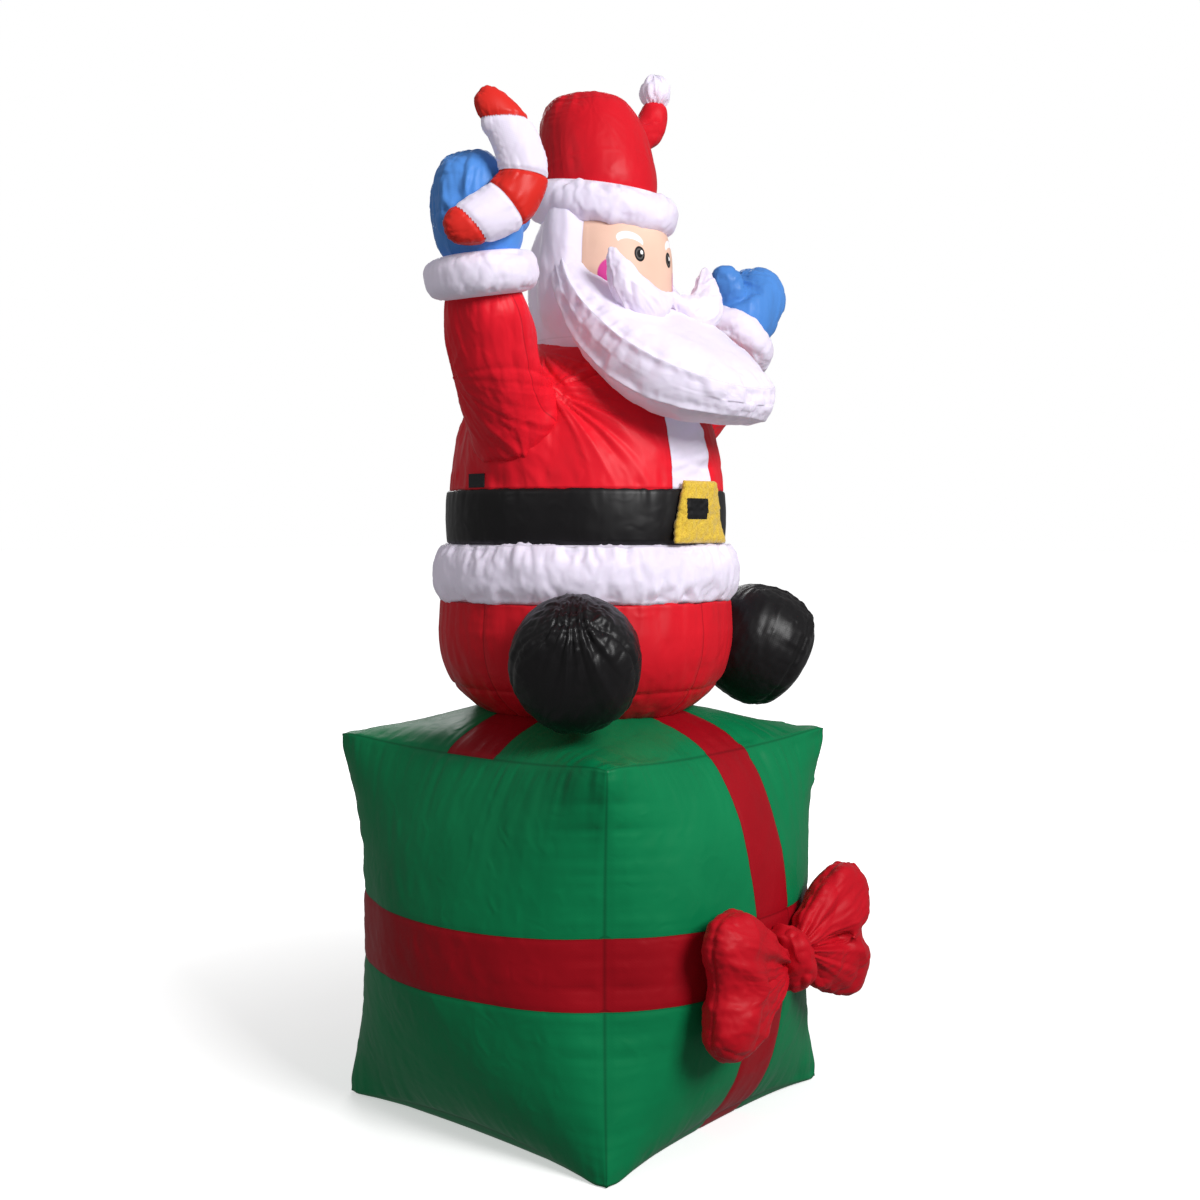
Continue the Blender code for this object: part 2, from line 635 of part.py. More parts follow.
def make_arm(side, name, coat):
    """One sleeve with its cuff and mitten. The mitten's thumb is sewn in one with its palm."""
    red, white, blue = cloth("coat cloth", RED), cloth("white cloth", WHITE), cloth("mitten cloth", BLUE)
    middle, fingers, thumb, palm = arm_frame(side)

    def cuff_shape(polar, around):
        reach = np.sin(polar) ** 0.36 * CUFF_RADIUS
        tall = round_power(np.cos(polar), 0.8) * CUFF_HEIGHT / 2
        return (middle + np.outer(reach * np.cos(around), thumb) + np.outer(reach * np.sin(around), palm)
                + np.outer(tall, fingers))

    root = np.array([side * SHOULDER_WIDTH, 0.0, COAT_TOP - SHOULDER_DROP])
    wrist = middle - fingers * (CUFF_HEIGHT / 2 - CUFF_SINK)
    elbow = np.array([0.62 * root[0] + 0.44 * wrist[0], 0.45 * wrist[1], root[2] - 0.14 * SLEEVE_RADIUS])

    start = middle + fingers * (CUFF_HEIGHT / 2 - CUFF_SINK)
    end = start + fingers * MITTEN_LENGTH - thumb * 0.10 * MITTEN_WIDTH

    def mitten_width(share):
        return MITTEN_WIDTH / 2 * (1 - 0.22 * np.clip(share, 0, 1) ** 1.5)

    def mitten_depth(share):
        return MITTEN_DEPTH / 2 * (1 + 0.16 * np.clip(1 - 3 * share, 0, 1))

    cuff = puff("cuff_" + name, cuff_shape, 18, 8, white)
    sleeve = puff("sleeve_" + name, along(bend(root, elbow, wrist), palm, SLEEVE_RADIUS,
                                          lambda share: SLEEVE_RADIUS * (1.06 - 0.10 * share), 5.0),
                  16, 12, red)
    seat_against(sleeve, cuff, coat)
    heel = (start + end) / 2 + thumb * 0.05 * MITTEN_WIDTH
    mitten = puff("mitten_" + name, along(bend(start, heel, end), thumb, mitten_width, mitten_depth, 3.0),
                  16, 10, blue)
    knuckle = start + fingers * 0.34 * MITTEN_LENGTH + thumb * 0.12 * MITTEN_WIDTH
    nail = knuckle + thumb * THUMB_LENGTH + fingers * 0.38 * THUMB_LENGTH
    digit = puff("thumb_" + name, along(bend(knuckle, knuckle + thumb * 0.62 * THUMB_LENGTH, nail), palm,
                                        THUMB_RADIUS, THUMB_RADIUS, 3.0), 10, 6, blue)
    sew = mitten.modifiers.new("Sew thumb", "BOOLEAN")
    sew.operation = "UNION"
    sew.object = digit
    for group in digit.users_collection:
        group.objects.unlink(digit)
    new_collection("cutters").objects.link(digit)
    digit.hide_render = True
    digit.display_type = "WIRE"
    seat_against(mitten, cuff)
    return mitten, cuff


def make_candy_cane(mitten, cuff):
    """The candy cane: a soft tube on an arc, flat side out, with stripes in two colours."""
    middle, fingers = arm_frame(-1)[:2]
    facing = np.array([-sin(CANE_TURN), -cos(CANE_TURN), 0.0])
    level = np.array([cos(CANE_TURN), -sin(CANE_TURN), 0.0])
    up = np.array([0.0, 0.0, 1.0])
    hand = middle + fingers * (CUFF_HEIGHT / 2 + 0.50 * MITTEN_LENGTH)
    standoff = MITTEN_DEPTH / 2 + CANE_DEPTH / 2 - CANE_SINK
    centre = hand + facing * standoff - level * CANE_ASIDE + up * CANE_RISE
    lengthways = up * cos(CANE_TILT) + level * sin(CANE_TILT)
    sideways = level * cos(CANE_TILT) - up * sin(CANE_TILT)
    half = lengthways * CANE_HEIGHT / 2
    path = bend(centre + half, centre + sideways * 2 * CANE_BELLY, centre - half)

    def swell(share):
        return 0.90 + 0.16 * np.clip(share, 0, 1)

    cane = puff("candy_cane", along(path, facing, lambda share: CANE_DEPTH / 2 * swell(share),
                                    lambda share: CANE_WIDTH / 2 * swell(share), 3.2),
                12, 16, cloth("cane red cloth", ORANGE_RED), cloth("white cloth", WHITE))
    shares = np.linspace(0, 1, 101)
    middle_line = path(shares)
    for face in cane.data.polygons:
        nearest = shares[np.argmin(np.linalg.norm(middle_line - np.array(face.center), axis=1))]
        face.material_index = sum(nearest > seam for seam in CANE_STRIPES) % 2
    seat_against(cane, mitten, cuff)


def build():
    clear_scene()
    box = make_gift_box()
    make_bow(box)
    seat, hem, belt, coat = make_body(box)
    make_patches(hem, belt, coat)
    make_boots(hem, seat, box)
    head = make_head(coat)
    beard = make_beard(head, coat)
    make_hat(head, beard)
    make_arm(1, "left", coat)
    make_candy_cane(*make_arm(-1, "right", coat))


build()
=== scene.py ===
"""Looks of the inflatable santa on its gift box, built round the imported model.

Metres, +Z up. The figure faces -Y and its right side is at -X. Every chamber is a grid of points
worked out by a formula, then puckered along its seams and folded as air-filled nylon is.
"""

from math import cos, pi, radians, sin

import bpy
import numpy as np
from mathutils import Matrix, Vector


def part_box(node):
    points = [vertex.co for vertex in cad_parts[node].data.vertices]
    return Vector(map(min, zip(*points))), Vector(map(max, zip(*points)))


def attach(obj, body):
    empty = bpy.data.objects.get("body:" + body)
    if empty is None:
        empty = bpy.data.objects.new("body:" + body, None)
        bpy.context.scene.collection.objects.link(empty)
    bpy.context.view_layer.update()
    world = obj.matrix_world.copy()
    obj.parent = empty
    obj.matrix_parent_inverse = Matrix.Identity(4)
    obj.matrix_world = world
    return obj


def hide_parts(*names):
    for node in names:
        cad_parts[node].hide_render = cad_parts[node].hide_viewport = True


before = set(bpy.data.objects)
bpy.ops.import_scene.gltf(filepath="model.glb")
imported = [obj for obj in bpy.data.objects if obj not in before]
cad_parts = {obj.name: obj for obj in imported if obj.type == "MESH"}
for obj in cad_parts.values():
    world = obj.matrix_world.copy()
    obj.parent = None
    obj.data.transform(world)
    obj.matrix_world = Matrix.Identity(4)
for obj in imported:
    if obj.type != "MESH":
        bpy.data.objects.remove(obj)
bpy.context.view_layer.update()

# Camera, floor and lamps
# The photograph's own viewpoint: level with the belt, 50 degrees round to the figure's right. The
# studio is a pale floor under a white sky, with a big soft lamp over the front and two fill lamps.
EYE = Vector((-1.952, -1.686, 1.008))
EYE_TURN = radians(49.74)          # from +Y towards +X
EYE_DIP = radians(2.81)            # below level
FOCAL_MM, SENSOR_MM = 43.3, 36.0
FLOOR_REACH = 60.0
PAPER_GLOW = (0.5, 2.2, 0.46, 0.90)    # two distances from the middle, and how much it glows there
SKY_LIGHT = 0.24
FIGURE_MIDDLE = Vector((0.0, 0.0, 0.95))
LAMPS = (("key", (-0.7, -4.0, 3.0), 1.5, 205.0), ("left", (-4.4, 0.4, 3.4), 2.4, 22.0),
         ("back", (3.0, 3.4, 3.2), 2.4, 70.0))


def aim(thing, direction):
    """Point a camera or lamp, which looks along its own -Z, in a direction, with +Y up."""
    thing.rotation_mode = "QUATERNION"
    thing.rotation_quaternion = Vector(direction).to_track_quat("-Z", "Y")


def placed(name, data):
    """A new object in the scene for a mesh, a camera or a lamp."""
    thing = bpy.data.objects.new(name, data)
    bpy.context.collection.objects.link(thing)
    return thing


def fresh(name):
    """A new material and its shader node."""
    material = bpy.data.materials.new(name)
    material.use_nodes = True
    return material, material.node_tree.nodes["Principled BSDF"]


def feed(material, node, inputs):
    """Fill a node's inputs: a constant is set on its socket, another node's output is linked to it."""
    for key, value in inputs.items():
        if isinstance(value, bpy.types.NodeSocket):
            material.node_tree.links.new(value, node.inputs[key])
        else:
            node.inputs[key].default_value = value


def shade(material, kind, inputs, output=0, **settings):
    """An output of a new shader node of a kind, with its settings made and its inputs filled."""
    node = material.node_tree.nodes.new("ShaderNode" + kind)
    for key, value in settings.items():
        setattr(node, key, value)
    feed(material, node, inputs)
    return node.outputs[output]


def ranged(material, value, start, end, low=0.0, high=1.0, **settings):
    """A mapped value: low + (high - low) * (value - start) / (end - start), kept between the two."""
    return shade(material, "MapRange", {"Value": value, "From Min": start, "From Max": end,
                                        "To Min": low, "To Max": high}, **settings)


lens = bpy.data.cameras.new("camera")
lens.lens, lens.sensor_width = FOCAL_MM, SENSOR_MM
lens.clip_start, lens.clip_end = 0.05, 200.0
camera = placed("camera", lens)
camera.location = EYE
aim(camera, (sin(EYE_TURN) * cos(EYE_DIP), cos(EYE_TURN) * cos(EYE_DIP), -sin(EYE_DIP)))
bpy.context.scene.camera = camera
bpy.context.scene.view_settings.view_transform = "Standard"

ground = [(x * FLOOR_REACH, y * FLOOR_REACH, 0.0) for x, y in ((-1, -1), (1, -1), (1, 1), (-1, 1))]
floor_mesh = bpy.data.meshes.new("studio_floor")
floor_mesh.from_pydata(ground, [], [(0, 1, 2, 3)])
floor = placed("studio_floor", floor_mesh)
paper, paper_shader = fresh("studio paper")
here = shade(paper, "TexCoord", {}, "Object")
fibre = shade(paper, "TexNoise", {"Vector": here, "Scale": 3.0})
from_middle = shade(paper, "VectorMath", {0: here}, "Value", operation="LENGTH")
feed(paper, paper_shader, {
    "Base Color": ranged(paper, fibre, 0.0, 1.0, 0.80, 0.86), "Roughness": 0.9, "Specular IOR Level": 0.1,
    "Emission Color": (1.0, 1.0, 1.0, 1.0),
    "Emission Strength": ranged(paper, from_middle, *PAPER_GLOW, interpolation_type="SMOOTHSTEP")})
floor_mesh.materials.append(paper)
floor.visible_diffuse = floor.visible_glossy = False

# The sky itself shows white behind the figure, and lights it with a quarter of that.
sky = bpy.data.worlds.new("studio")
bpy.context.scene.world = sky
sky.use_nodes = True
seen = shade(sky, "LightPath", {}, "Is Camera Ray")
feed(sky, sky.node_tree.nodes["Background"], {
    "Color": (1.0, 1.0, 1.0, 1.0), "Strength": ranged(sky, seen, 0.0, 1.0, SKY_LIGHT)})

for lamp_name, place, width, watts in LAMPS:
    lamp = bpy.data.lights.new(lamp_name + "_lamp", "AREA")
    lamp.shape, lamp.size, lamp.energy = "SQUARE", width, watts
    holder = placed(lamp_name + "_lamp", lamp)
    holder.location = place
    aim(holder, FIGURE_MIDDLE - Vector(place))

# Gift box
# A big cube of green nylon, blown up by the same air as the figure. Red strips are sewn into its
# panels as ribbons. Its edges are gathered seams, so the cloth puckers square to them.
BOX_SIDE, BOX_HEIGHT = 0.600, 0.643
BOX_EDGE_PULL, BOX_RIM_PULL, BOX_FOOT_LIFT, CORNER_BLUNT = 0.025, 0.008, 0.024, 0.0045
EAR_FLARE, EAR_REACH = np.array([0.011, 0.011, 0.008]), 0.11
RIBBON_WIDTH, RIBBON_OFFSET = 0.107, 0.022
BOX_CELLS, RIBBON_CELLS = 120, 22
SEAM_LINE, THREADS = 0.0022, 1400.0    # half the dark line's width, and the weave's fineness
box_low, box_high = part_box("gift_box")
BOX_SIDE_BULGE = box_high.x - BOX_SIDE / 2
BOX_TOP_BULGE = box_high.z - BOX_HEIGHT
GREEN, RIBBON_RED, BOW_RED = (0.001, 0.182, 0.062), (0.305, 0.002, 0.008), (0.490, 0.004, 0.013)


def crumple(places, size, seed):
    """Smooth random heights from -1 to 1: random values on a cubic lattice, blended by 3t^2 - 2t^3."""
    lattice = np.random.default_rng(seed).uniform(-1.0, 1.0, (24, 24, 24))
    cell = np.floor(places / size).astype(int)
    share = places / size - cell
    share = share * share * (3 - 2 * share)
    total = np.zeros(places.shape[:-1])
    for corner in np.ndindex(2, 2, 2):
        weight = np.prod(np.where(corner, share, 1 - share), axis=-1)
        x, y, z = np.moveaxis((cell + corner) % 24, -1, 0)
        total += weight * lattice[x, y, z]
    return total


def creases(places, size, seed, thin=5.0):
    """Heights from -1 to 0: thin dents where the random heights cross zero, level ground between."""
    return -np.exp(-thin * np.abs(crumple(places, size, seed)))


def folds(places, size, seed):
    """Flat facets between sharp ridges and valleys, from about -1 to 1: 2.2 * (|one noise| - |another|)."""
    return 2.2 * (np.abs(crumple(places, size, seed)) - np.abs(crumple(places, size, seed + 500)))


def pulls(places, direction, size, seed):
    """Folds that run along a direction: facets of two sizes, drawn out 4.5 times that way."""
    direction = np.array(direction) / np.linalg.norm(direction)
    drawn = places - 0.78 * (places @ direction)[..., None] * direction
    return 0.8 * folds(drawn, size, seed) + 0.4 * folds(drawn, 0.45 * size, seed + 1)


def near(distance, width):
    """1 at a place or line, fading with the distance from it: exp(-(distance / width)^2)."""
    return np.exp(-(distance / width) ** 2)


def ramp(value, width):
    """From 0 to 1 as a value passes zero: 1 / (1 + exp(-value / width))."""
    return 1 / (1 + np.exp(-value / width))


def gather(seam, size, height, reach, seed):
    """Puckers along a seam: lobes and sharp dents that run square to it and fade away from it.

    seam is every point's distance and its nearest point on the seam, so that a fold stays the same
    across it. The height rises from nothing and fades as exp(-distance / reach), with a reach that
    varies.
    """
    distance, feet = seam
    spread = reach * (0.75 + 0.65 * crumple(feet, 4 * size, seed + 1))
    fade = np.tanh(5 * distance / reach) * np.exp(-distance / np.maximum(spread, 0.15 * reach))
    lobes = 0.60 * creases(feet, size, seed, 4.0) + 0.45 * folds(feet, 0.8 * size, seed + 2)
    return height * fade * lobes


def nylon(name, colour, shine, crinkle, subsurface_and_painted_glow=0.0):
    """Coated nylon: fine weave, small sharp crinkles, uneven dye and a dark line along each seam. A glow
    above 0 also lets light in under its surface and adds a painted glow, a faint emission of its own colour.
    """
    material, shader = fresh(name)
    here = shade(material, "TexCoord", {}, "Object")
    patchy = shade(material, "TexNoise", {"Vector": here, "Scale": 7.0, "Detail": 3.0})
    seam = shade(material, "Attribute", {}, "Fac", attribute_name="seam")
    tint = shade(material, "Math", {0: ranged(material, patchy, 0.3, 0.7, 0.90, 1.06),
                                    1: ranged(material, seam, 0.0, SEAM_LINE, 0.62)}, operation="MULTIPLY")
    crinkles = shade(material, "TexNoise", {"Vector": here, "Scale": 34.0, "Detail": 5.0, "Roughness": 0.55,
                                            "Distortion": 0.6}, noise_type="RIDGED_MULTIFRACTAL")
    creased = shade(material, "Bump", {"Height": crinkles, "Strength": crinkle, "Distance": 0.0018})
    threads = shade(material, "Mapping", {"Vector": shade(material, "TexCoord", {}, "UV"),
                                          "Scale": (THREADS, THREADS, 1.0)})
    warp, weft = (shade(material, "Math", {0: shade(material, "SeparateXYZ", {"Vector": threads}, axis)},
                        operation="SINE") for axis in "XY")
    weave = shade(material, "Math", {0: warp, 1: weft}, operation="MULTIPLY")
    feed(material, shader, {
        "Base Color": shade(material, "VectorMath", {0: colour, "Scale": tint}, operation="SCALE"),
        "Roughness": ranged(material, patchy, 0.3, 0.7, shine - 0.05, shine + 0.07),
        "Specular IOR Level": 0.15, "Sheen Weight": 0.02, "Sheen Roughness": 0.35,
        "Normal": shade(material, "Bump", {"Height": weave, "Normal": creased, "Strength": 0.12,
                                           "Distance": 0.0002})})
    # Painted glow: an emission of the cloth's own colour stands in for light shining through thin cloth. It
    # comes beside the real subsurface light.
    if subsurface_and_painted_glow:
        feed(material, shader, {
            "Subsurface Weight": subsurface_and_painted_glow, "Subsurface Radius": (0.02, 0.016, 0.018), "Subsurface Scale": 1.0,
            "Emission Color": (*colour, 1.0), "Emission Strength": 0.6 * subsurface_and_painted_glow})
    return material


def normals(points, closed=True):
    """Unit normals of a grid: its step down the rows crossed with its step along the columns."""
    if closed:
        along = np.roll(points, -1, axis=1) - np.roll(points, 1, axis=1)
    else:
        along = np.gradient(points, axis=1)
    across = np.cross(np.gradient(points, axis=0), along)
    across /= np.maximum(np.linalg.norm(across, axis=-1, keepdims=True), 1e-12)
    middle = points.reshape(-1, 3).mean(axis=0)
    outwards = np.sum(across * (points - middle)) > 0
    return across if outwards else -across


def raised(points, heights, closed=True):
    """A grid moved out along its normals by the heights."""
    return points + normals(points, closed) * heights[..., None]


def surface(mesh, seam, runs, materials):
    """Give a mesh its materials, its seam distances and its threads' UV.

    runs gives each face corner's place in the weave, in metres, in the order of the faces.
    """
    for material in materials:
        mesh.materials.append(material)
    mesh.attributes.new("seam", "FLOAT", "POINT").data.foreach_set("value", seam.astype(np.float32))
    mesh.uv_layers.new(name="weave").data.foreach_set("uv", np.asarray(runs, np.float32).ravel())
    mesh.shade_smooth()
    mesh.update()


def declare(piece, node):
    """Hang a piece on the root body and hide the imported part that it replaces."""
    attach(piece, "root")
    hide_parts(node)
    return piece


def cloth_piece(name, node, points, faces, seam, runs, materials, panels):
    """A piece from points and faces that look outwards, with a material for each panel."""
    mesh = bpy.data.meshes.new(name)
    mesh.from_pydata(points.tolist(), [], [list(map(int, face)) for face in faces])
    surface(mesh, seam, runs, materials)
    mesh.polygons.foreach_set("material_index", np.asarray(panels, np.int32))
    triangles = points[np.array([face[:3] for face in faces])]
    if np.sum(triangles[:, 0] * np.cross(triangles[:, 1], triangles[:, 2])) < 0:
        mesh.flip_normals()
    return declare(placed(name, mesh), node)


def swollen(u, v, bulge):
    """How far a box face stands out past its corners: bulge * ((1 - u^2)(1 - v^2))^0.7."""
    return bulge * np.clip((1 - u ** 2) * (1 - v ** 2), 0, None) ** 0.7


def side_swell(u, height):
    """The same for a side face, less what its upright edges and its rims are pulled in."""
    upright = BOX_EDGE_PULL * (1 - height ** 2) * u ** 2
    rim = BOX_RIM_PULL * (1 - u ** 2) * height ** 2
    return swollen(u, height, BOX_SIDE_BULGE) - upright - rim


def inflated(cube):
    """A cube of side 2, blown up: each coordinate times the box's half side plus the swell there.

    Its corners end in blunt ears: they flare by EAR_FLARE, the top ones more than the bottom ones.
    """
    u, v, w = np.moveaxis(cube, -1, 0)
    u = u + 2 * RIBBON_OFFSET / BOX_SIDE * (1 - u ** 2)
    rim = (1 - u ** 2) * v ** 2 + (1 - v ** 2) * u ** 2
    above = BOX_HEIGHT / 2 + swollen(u, v, BOX_TOP_BULGE) - BOX_RIM_PULL * rim
    below = BOX_HEIGHT / 2 + swollen(u, v, BOX_SIDE_BULGE) - BOX_FOOT_LIFT * rim
    z = BOX_HEIGHT / 2 + w * np.where(w > 0, above, below)
    nose = np.linalg.norm(1 - np.abs(cube), axis=-1) * BOX_SIDE / 2
    ears = EAR_FLARE * np.where(w > 0, 1.0, 0.3)[..., None] * near(nose, EAR_REACH)[..., None]
    ears = (ears - CORNER_BLUNT * near(nose, 0.018)[..., None]) * np.sign(cube)
    return np.stack([u * (BOX_SIDE / 2 + side_swell(v, w)), v * (BOX_SIDE / 2 + side_swell(u, w)),
                     np.clip(z, 0.0, None)], axis=-1) + ears


def box_panels():
    """The six faces as one closed mesh: lattice points shared along the edges, puckers on each face."""
    steps = np.arange(BOX_CELLS + 1)
    strip, half_strip = RIBBON_CELLS / BOX_CELLS, RIBBON_WIDTH / BOX_SIDE
    share = np.interp(2 * steps / BOX_CELLS - 1, [-1, -strip, strip, 1], [-1, -half_strip, half_strip, 1])
    i, j = np.meshgrid(steps, steps, indexing="ij")
    p, q = share[i], share[j]
    inwards = np.minimum(1 - np.abs(p), 1 - np.abs(q))
    flat = np.stack([p, q], axis=-1).reshape(-1, 2) * BOX_SIDE / 2
    lattice, places, seams, faces, runs, panels = [], [], [], [], [], []
    for axis, side in np.ndindex(3, 2):
        order = [np.full_like(i, side * BOX_CELLS)] * 3
        order[(axis + 1) % 3], order[(axis + 2) % 3] = i, j
        order = np.stack(order, axis=-1)
        cube = share[order]
        face = inflated(cube)
        underside = axis == 2 and side == 0
        heights, nearest = np.zeros(i.shape), np.full(i.shape, 1.0)
        for cross, across in ((p, axis + 1), (q, axis + 2)):
            for end in (-1, 1):
                edge = cube.copy()
                edge[..., across % 3] = end
                seam = (np.abs(end - cross) * BOX_SIDE / 2, edge * BOX_SIDE / 2)
                full = 0.0 if underside else 1.0 if edge[..., 2].min() > 0.99 else 0.62
                heights += full * gather(seam, 0.036, 0.0085, 0.050, 11)
                heights += full * gather(seam, 0.014, 0.0042, 0.040, 31)
                nearest = np.minimum(nearest, seam[0])
        strips = ([q], [p, q], [p, q] if side else [p])[axis]
        for cross in strips:
            line = np.abs(np.abs(cross) - half_strip) * BOX_SIDE / 2
            nearest = np.minimum(nearest, line)
            heights -= 0.0016 * near(line, 0.004)
        if not underside:
            heights += 0.0030 * crumple(face, 0.090, 5) * np.tanh(6 * inwards)
            heights += 0.0006 * pulls(face, (0.5, 0.4, 0.8), 0.030, 8) * np.tanh(4 * inwards)
        face = raised(face, heights * np.tanh(40 * inwards), closed=False)
        face[..., 2] = np.maximum(face[..., 2], 0.0)
        number = len(places) * steps.size ** 2 + np.arange(steps.size ** 2).reshape(i.shape)
        corners = np.stack([number[:-1, :-1], number[1:, :-1], number[1:, 1:], number[:-1, 1:]], axis=-1)
        if side == 0:
            corners = corners[..., ::-1]
        faces.append(corners.reshape(-1, 4))
        lattice.append(order.reshape(-1, 3))
        places.append(face.reshape(-1, 3))
        seams.append(nearest.ravel())
        runs.append(flat[faces[-1] - number[0, 0]].reshape(-1, 2))
        middles = np.array([(cross[:-1, :-1] + cross[1:, 1:]) / 2 for cross in strips])
        panels.append((np.abs(middles) < half_strip).any(axis=0).ravel().astype(int))
    _, first, shared = np.unique(np.concatenate(lattice), axis=0, return_index=True, return_inverse=True)
    return (np.concatenate(places)[first], shared.ravel()[np.concatenate(faces)],
            np.concatenate(seams)[first], np.concatenate(runs), np.concatenate(panels))


green = nylon("green nylon", GREEN, 0.44, 0.6)
ribbon = nylon("ribbon nylon", RIBBON_RED, 0.44, 0.6)
points, faces, seam, runs, panels = box_panels()
cloth_piece("gift_box_cloth", "gift_box", points, faces, seam, runs, [green, ribbon], panels)

# Bow
# Two stuffed loops and a knot of the ribbon's nylon, sewn to the middle of the front. The knot
# squeezes the loops, so their folds run out from it like the ribs of a fan.
KNOT_WIDTH, KNOT_HEIGHT, KNOT_DEPTH = 0.064, 0.108, 0.088
LOOP_LENGTH, LOOP_HEIGHT, LOOP_DEPTH, LOOP_SINK = 0.232, 0.252, 0.104, 0.022
BOW_STANDOFF, BOW_LIFT, BOW_DROP, BOW_TURN = 0.024, 0.022, 0.012, radians(14)


def power(value, exponent):
    """The signed power, which squares a circle off into a superellipse."""
    return np.sign(value) * np.abs(value) ** exponent


def even_angles(count, outline):
    """Polar angles of rows that lie the same distance apart along an outline.

    outline takes angles and gives how far out and how far along the outline then is. The distance
    walked along it is inverted, and the two poles themselves are left out.
    """
    polar = np.linspace(0, pi, 4001)
    out, length = outline(polar)
    walked = np.concatenate([[0], np.cumsum(np.hypot(np.diff(out), np.diff(length)))])
    return np.interp(np.linspace(0, walked[-1], count + 2)[1:-1], walked, polar)


def globe(rows, columns, outline):
    """The polar angle and the angle round of every point of a closed grid, as two arrays."""
    return np.meshgrid(even_angles(rows, outline), np.arange(columns) * 2 * pi / columns, indexing="ij")


def to_seam(points, field):
    """Distance to the line where a field is zero, and the nearest point on that line.

    Both are worked out from the field's slope along the surface, so they are exact near the line:
    distance = |field| / |slope|, foot = point - field * slope / |slope|^2.
    """
    down, along = np.gradient(points, axis=0), (np.roll(points, -1, 1) - np.roll(points, 1, 1)) / 2
    field_down, field_along = np.gradient(field, axis=0), (np.roll(field, -1, 1) - np.roll(field, 1, 1)) / 2
    dd, da, aa = (down * down).sum(-1), (down * along).sum(-1), (along * along).sum(-1)
    spread = np.maximum(dd * aa - da * da, 1e-16)
    first = (aa * field_down - da * field_along) / spread
    second = (dd * field_along - da * field_down) / spread
    slope = first[..., None] * down + second[..., None] * along
    steep = np.maximum(np.linalg.norm(slope, axis=-1), 0.2)
    return np.abs(field) / steep, points - slope * (field / steep ** 2)[..., None]


def quads(rows, columns):
    """A closed grid's point numbers, those one column on, and its faces."""
    number = np.arange(rows * columns).reshape(rows, columns)
    right = np.roll(number, -1, axis=1)
    return number, right, np.stack([number[:-1], number[1:], right[1:], right[:-1]], axis=-1).reshape(-1, 4)


def closed_cloth(node, points, seam, materials, panels=None, name=None):
    """A closed grid as cloth: its columns meet, and its first and last rows are drawn to a pole."""
    rows, columns = points.shape[:2]
    if seam is None:
        seam = np.full((rows, columns), 1.0)
    if panels is None:
        panels = np.zeros((rows - 1, columns), int)
    number, right, faces = quads(rows, columns)
    caps = [[rows * columns, int(a), int(b)] for a, b in zip(number[0], right[0])]
    caps += [[rows * columns + 1, int(b), int(a)] for a, b in zip(number[-1], right[-1])]
    poles = np.stack([points[0].mean(axis=0), points[-1].mean(axis=0)])
    girth = np.linalg.norm(np.diff(points, axis=1), axis=-1).sum(axis=1).max()
    length = np.concatenate([[0], np.cumsum(np.linalg.norm(np.diff(points, axis=0), axis=-1).mean(axis=1))])
    low, high = np.meshgrid(np.arange(rows - 1), np.arange(columns), indexing="ij")
    corner_rows = np.stack([low, low + 1, low + 1, low], axis=-1).ravel()
    corner_columns = np.stack([high, high, high + 1, high + 1], axis=-1).ravel()
    caps_columns = [c + step for steps in ((0, 0, 1), (0, 1, 0)) for c in range(columns) for step in steps]
    run_columns = np.concatenate([corner_columns, caps_columns])
    run_rows = np.concatenate([length[corner_rows], np.repeat([0.0, length[-1]], 3 * columns)])
    runs = np.stack([run_columns * girth / columns, run_rows], axis=-1)
    seam = np.concatenate([seam.ravel(), [seam[0].mean(), seam[-1].mean()]])
    panels = np.concatenate([panels.ravel(), panels[0], panels[-1]])
    return cloth_piece(name or node + "_cloth", node, np.concatenate([points.reshape(-1, 3), poles]),
                       faces.tolist() + caps, seam, runs, materials, panels)


def rounded(polar, blunt):
    """A tube's row at a polar angle: how far along it lies, and its share of the full width.

    share = 1/2 - power(cos polar, 2 / blunt) / 2, reach = sin(polar)^(2 / blunt).
    """
    return 0.5 - 0.5 * power(np.cos(polar), 2.0 / blunt), np.sin(polar) ** (2.0 / blunt)


def tube(rows, columns, path, across, half_width, half_depth, blunt, length, girth, square=1.0):
    """The points of a soft tube along a path, with the polar angles and the angles round it.

    Its half width and half depth are functions of the share of the path, or one size all along. Its
    rows are spaced as on a superellipse of that length and girth. A square below 1 makes the corners
    of its section boxier.
    """
    def outline(polar):
        share, reach = rounded(polar, blunt)
        return girth * reach, share * length

    polar, around = globe(rows, columns, outline)
    share, reach = rounded(polar, blunt)
    wide, deep = (size(share) if callable(size) else size for size in (half_width, half_depth))
    tangent = path(share + 1e-4) - path(share - 1e-4)
    tangent /= np.linalg.norm(tangent, axis=-1, keepdims=True)
    side = across - tangent * (tangent @ across)[..., None]
    side /= np.linalg.norm(side, axis=-1, keepdims=True)
    wide = (wide * reach * power(np.cos(around), square))[..., None]
    deep = (deep * reach * power(np.sin(around), square))[..., None]
    return path(share) + side * wide + np.cross(tangent, side) * deep, polar, around


def oval_outline(half_width, sine, half_height, cosine):
    """An outline to space rows along: half_width * sin^sine out and -half_height * cos^cosine along."""
    return lambda polar: (half_width * np.sin(polar) ** sine, -half_height * power(np.cos(polar), cosine))


def bend(start, middle, end):
    """A quadratic curve from start to end, pulled towards middle."""
    start, middle, end = np.array(start), np.array(middle), np.array(end)

    def path(share):
        t = share[..., None]
        return (1 - t) ** 2 * start + 2 * t * (1 - t) * middle + t ** 2 * end
    return path


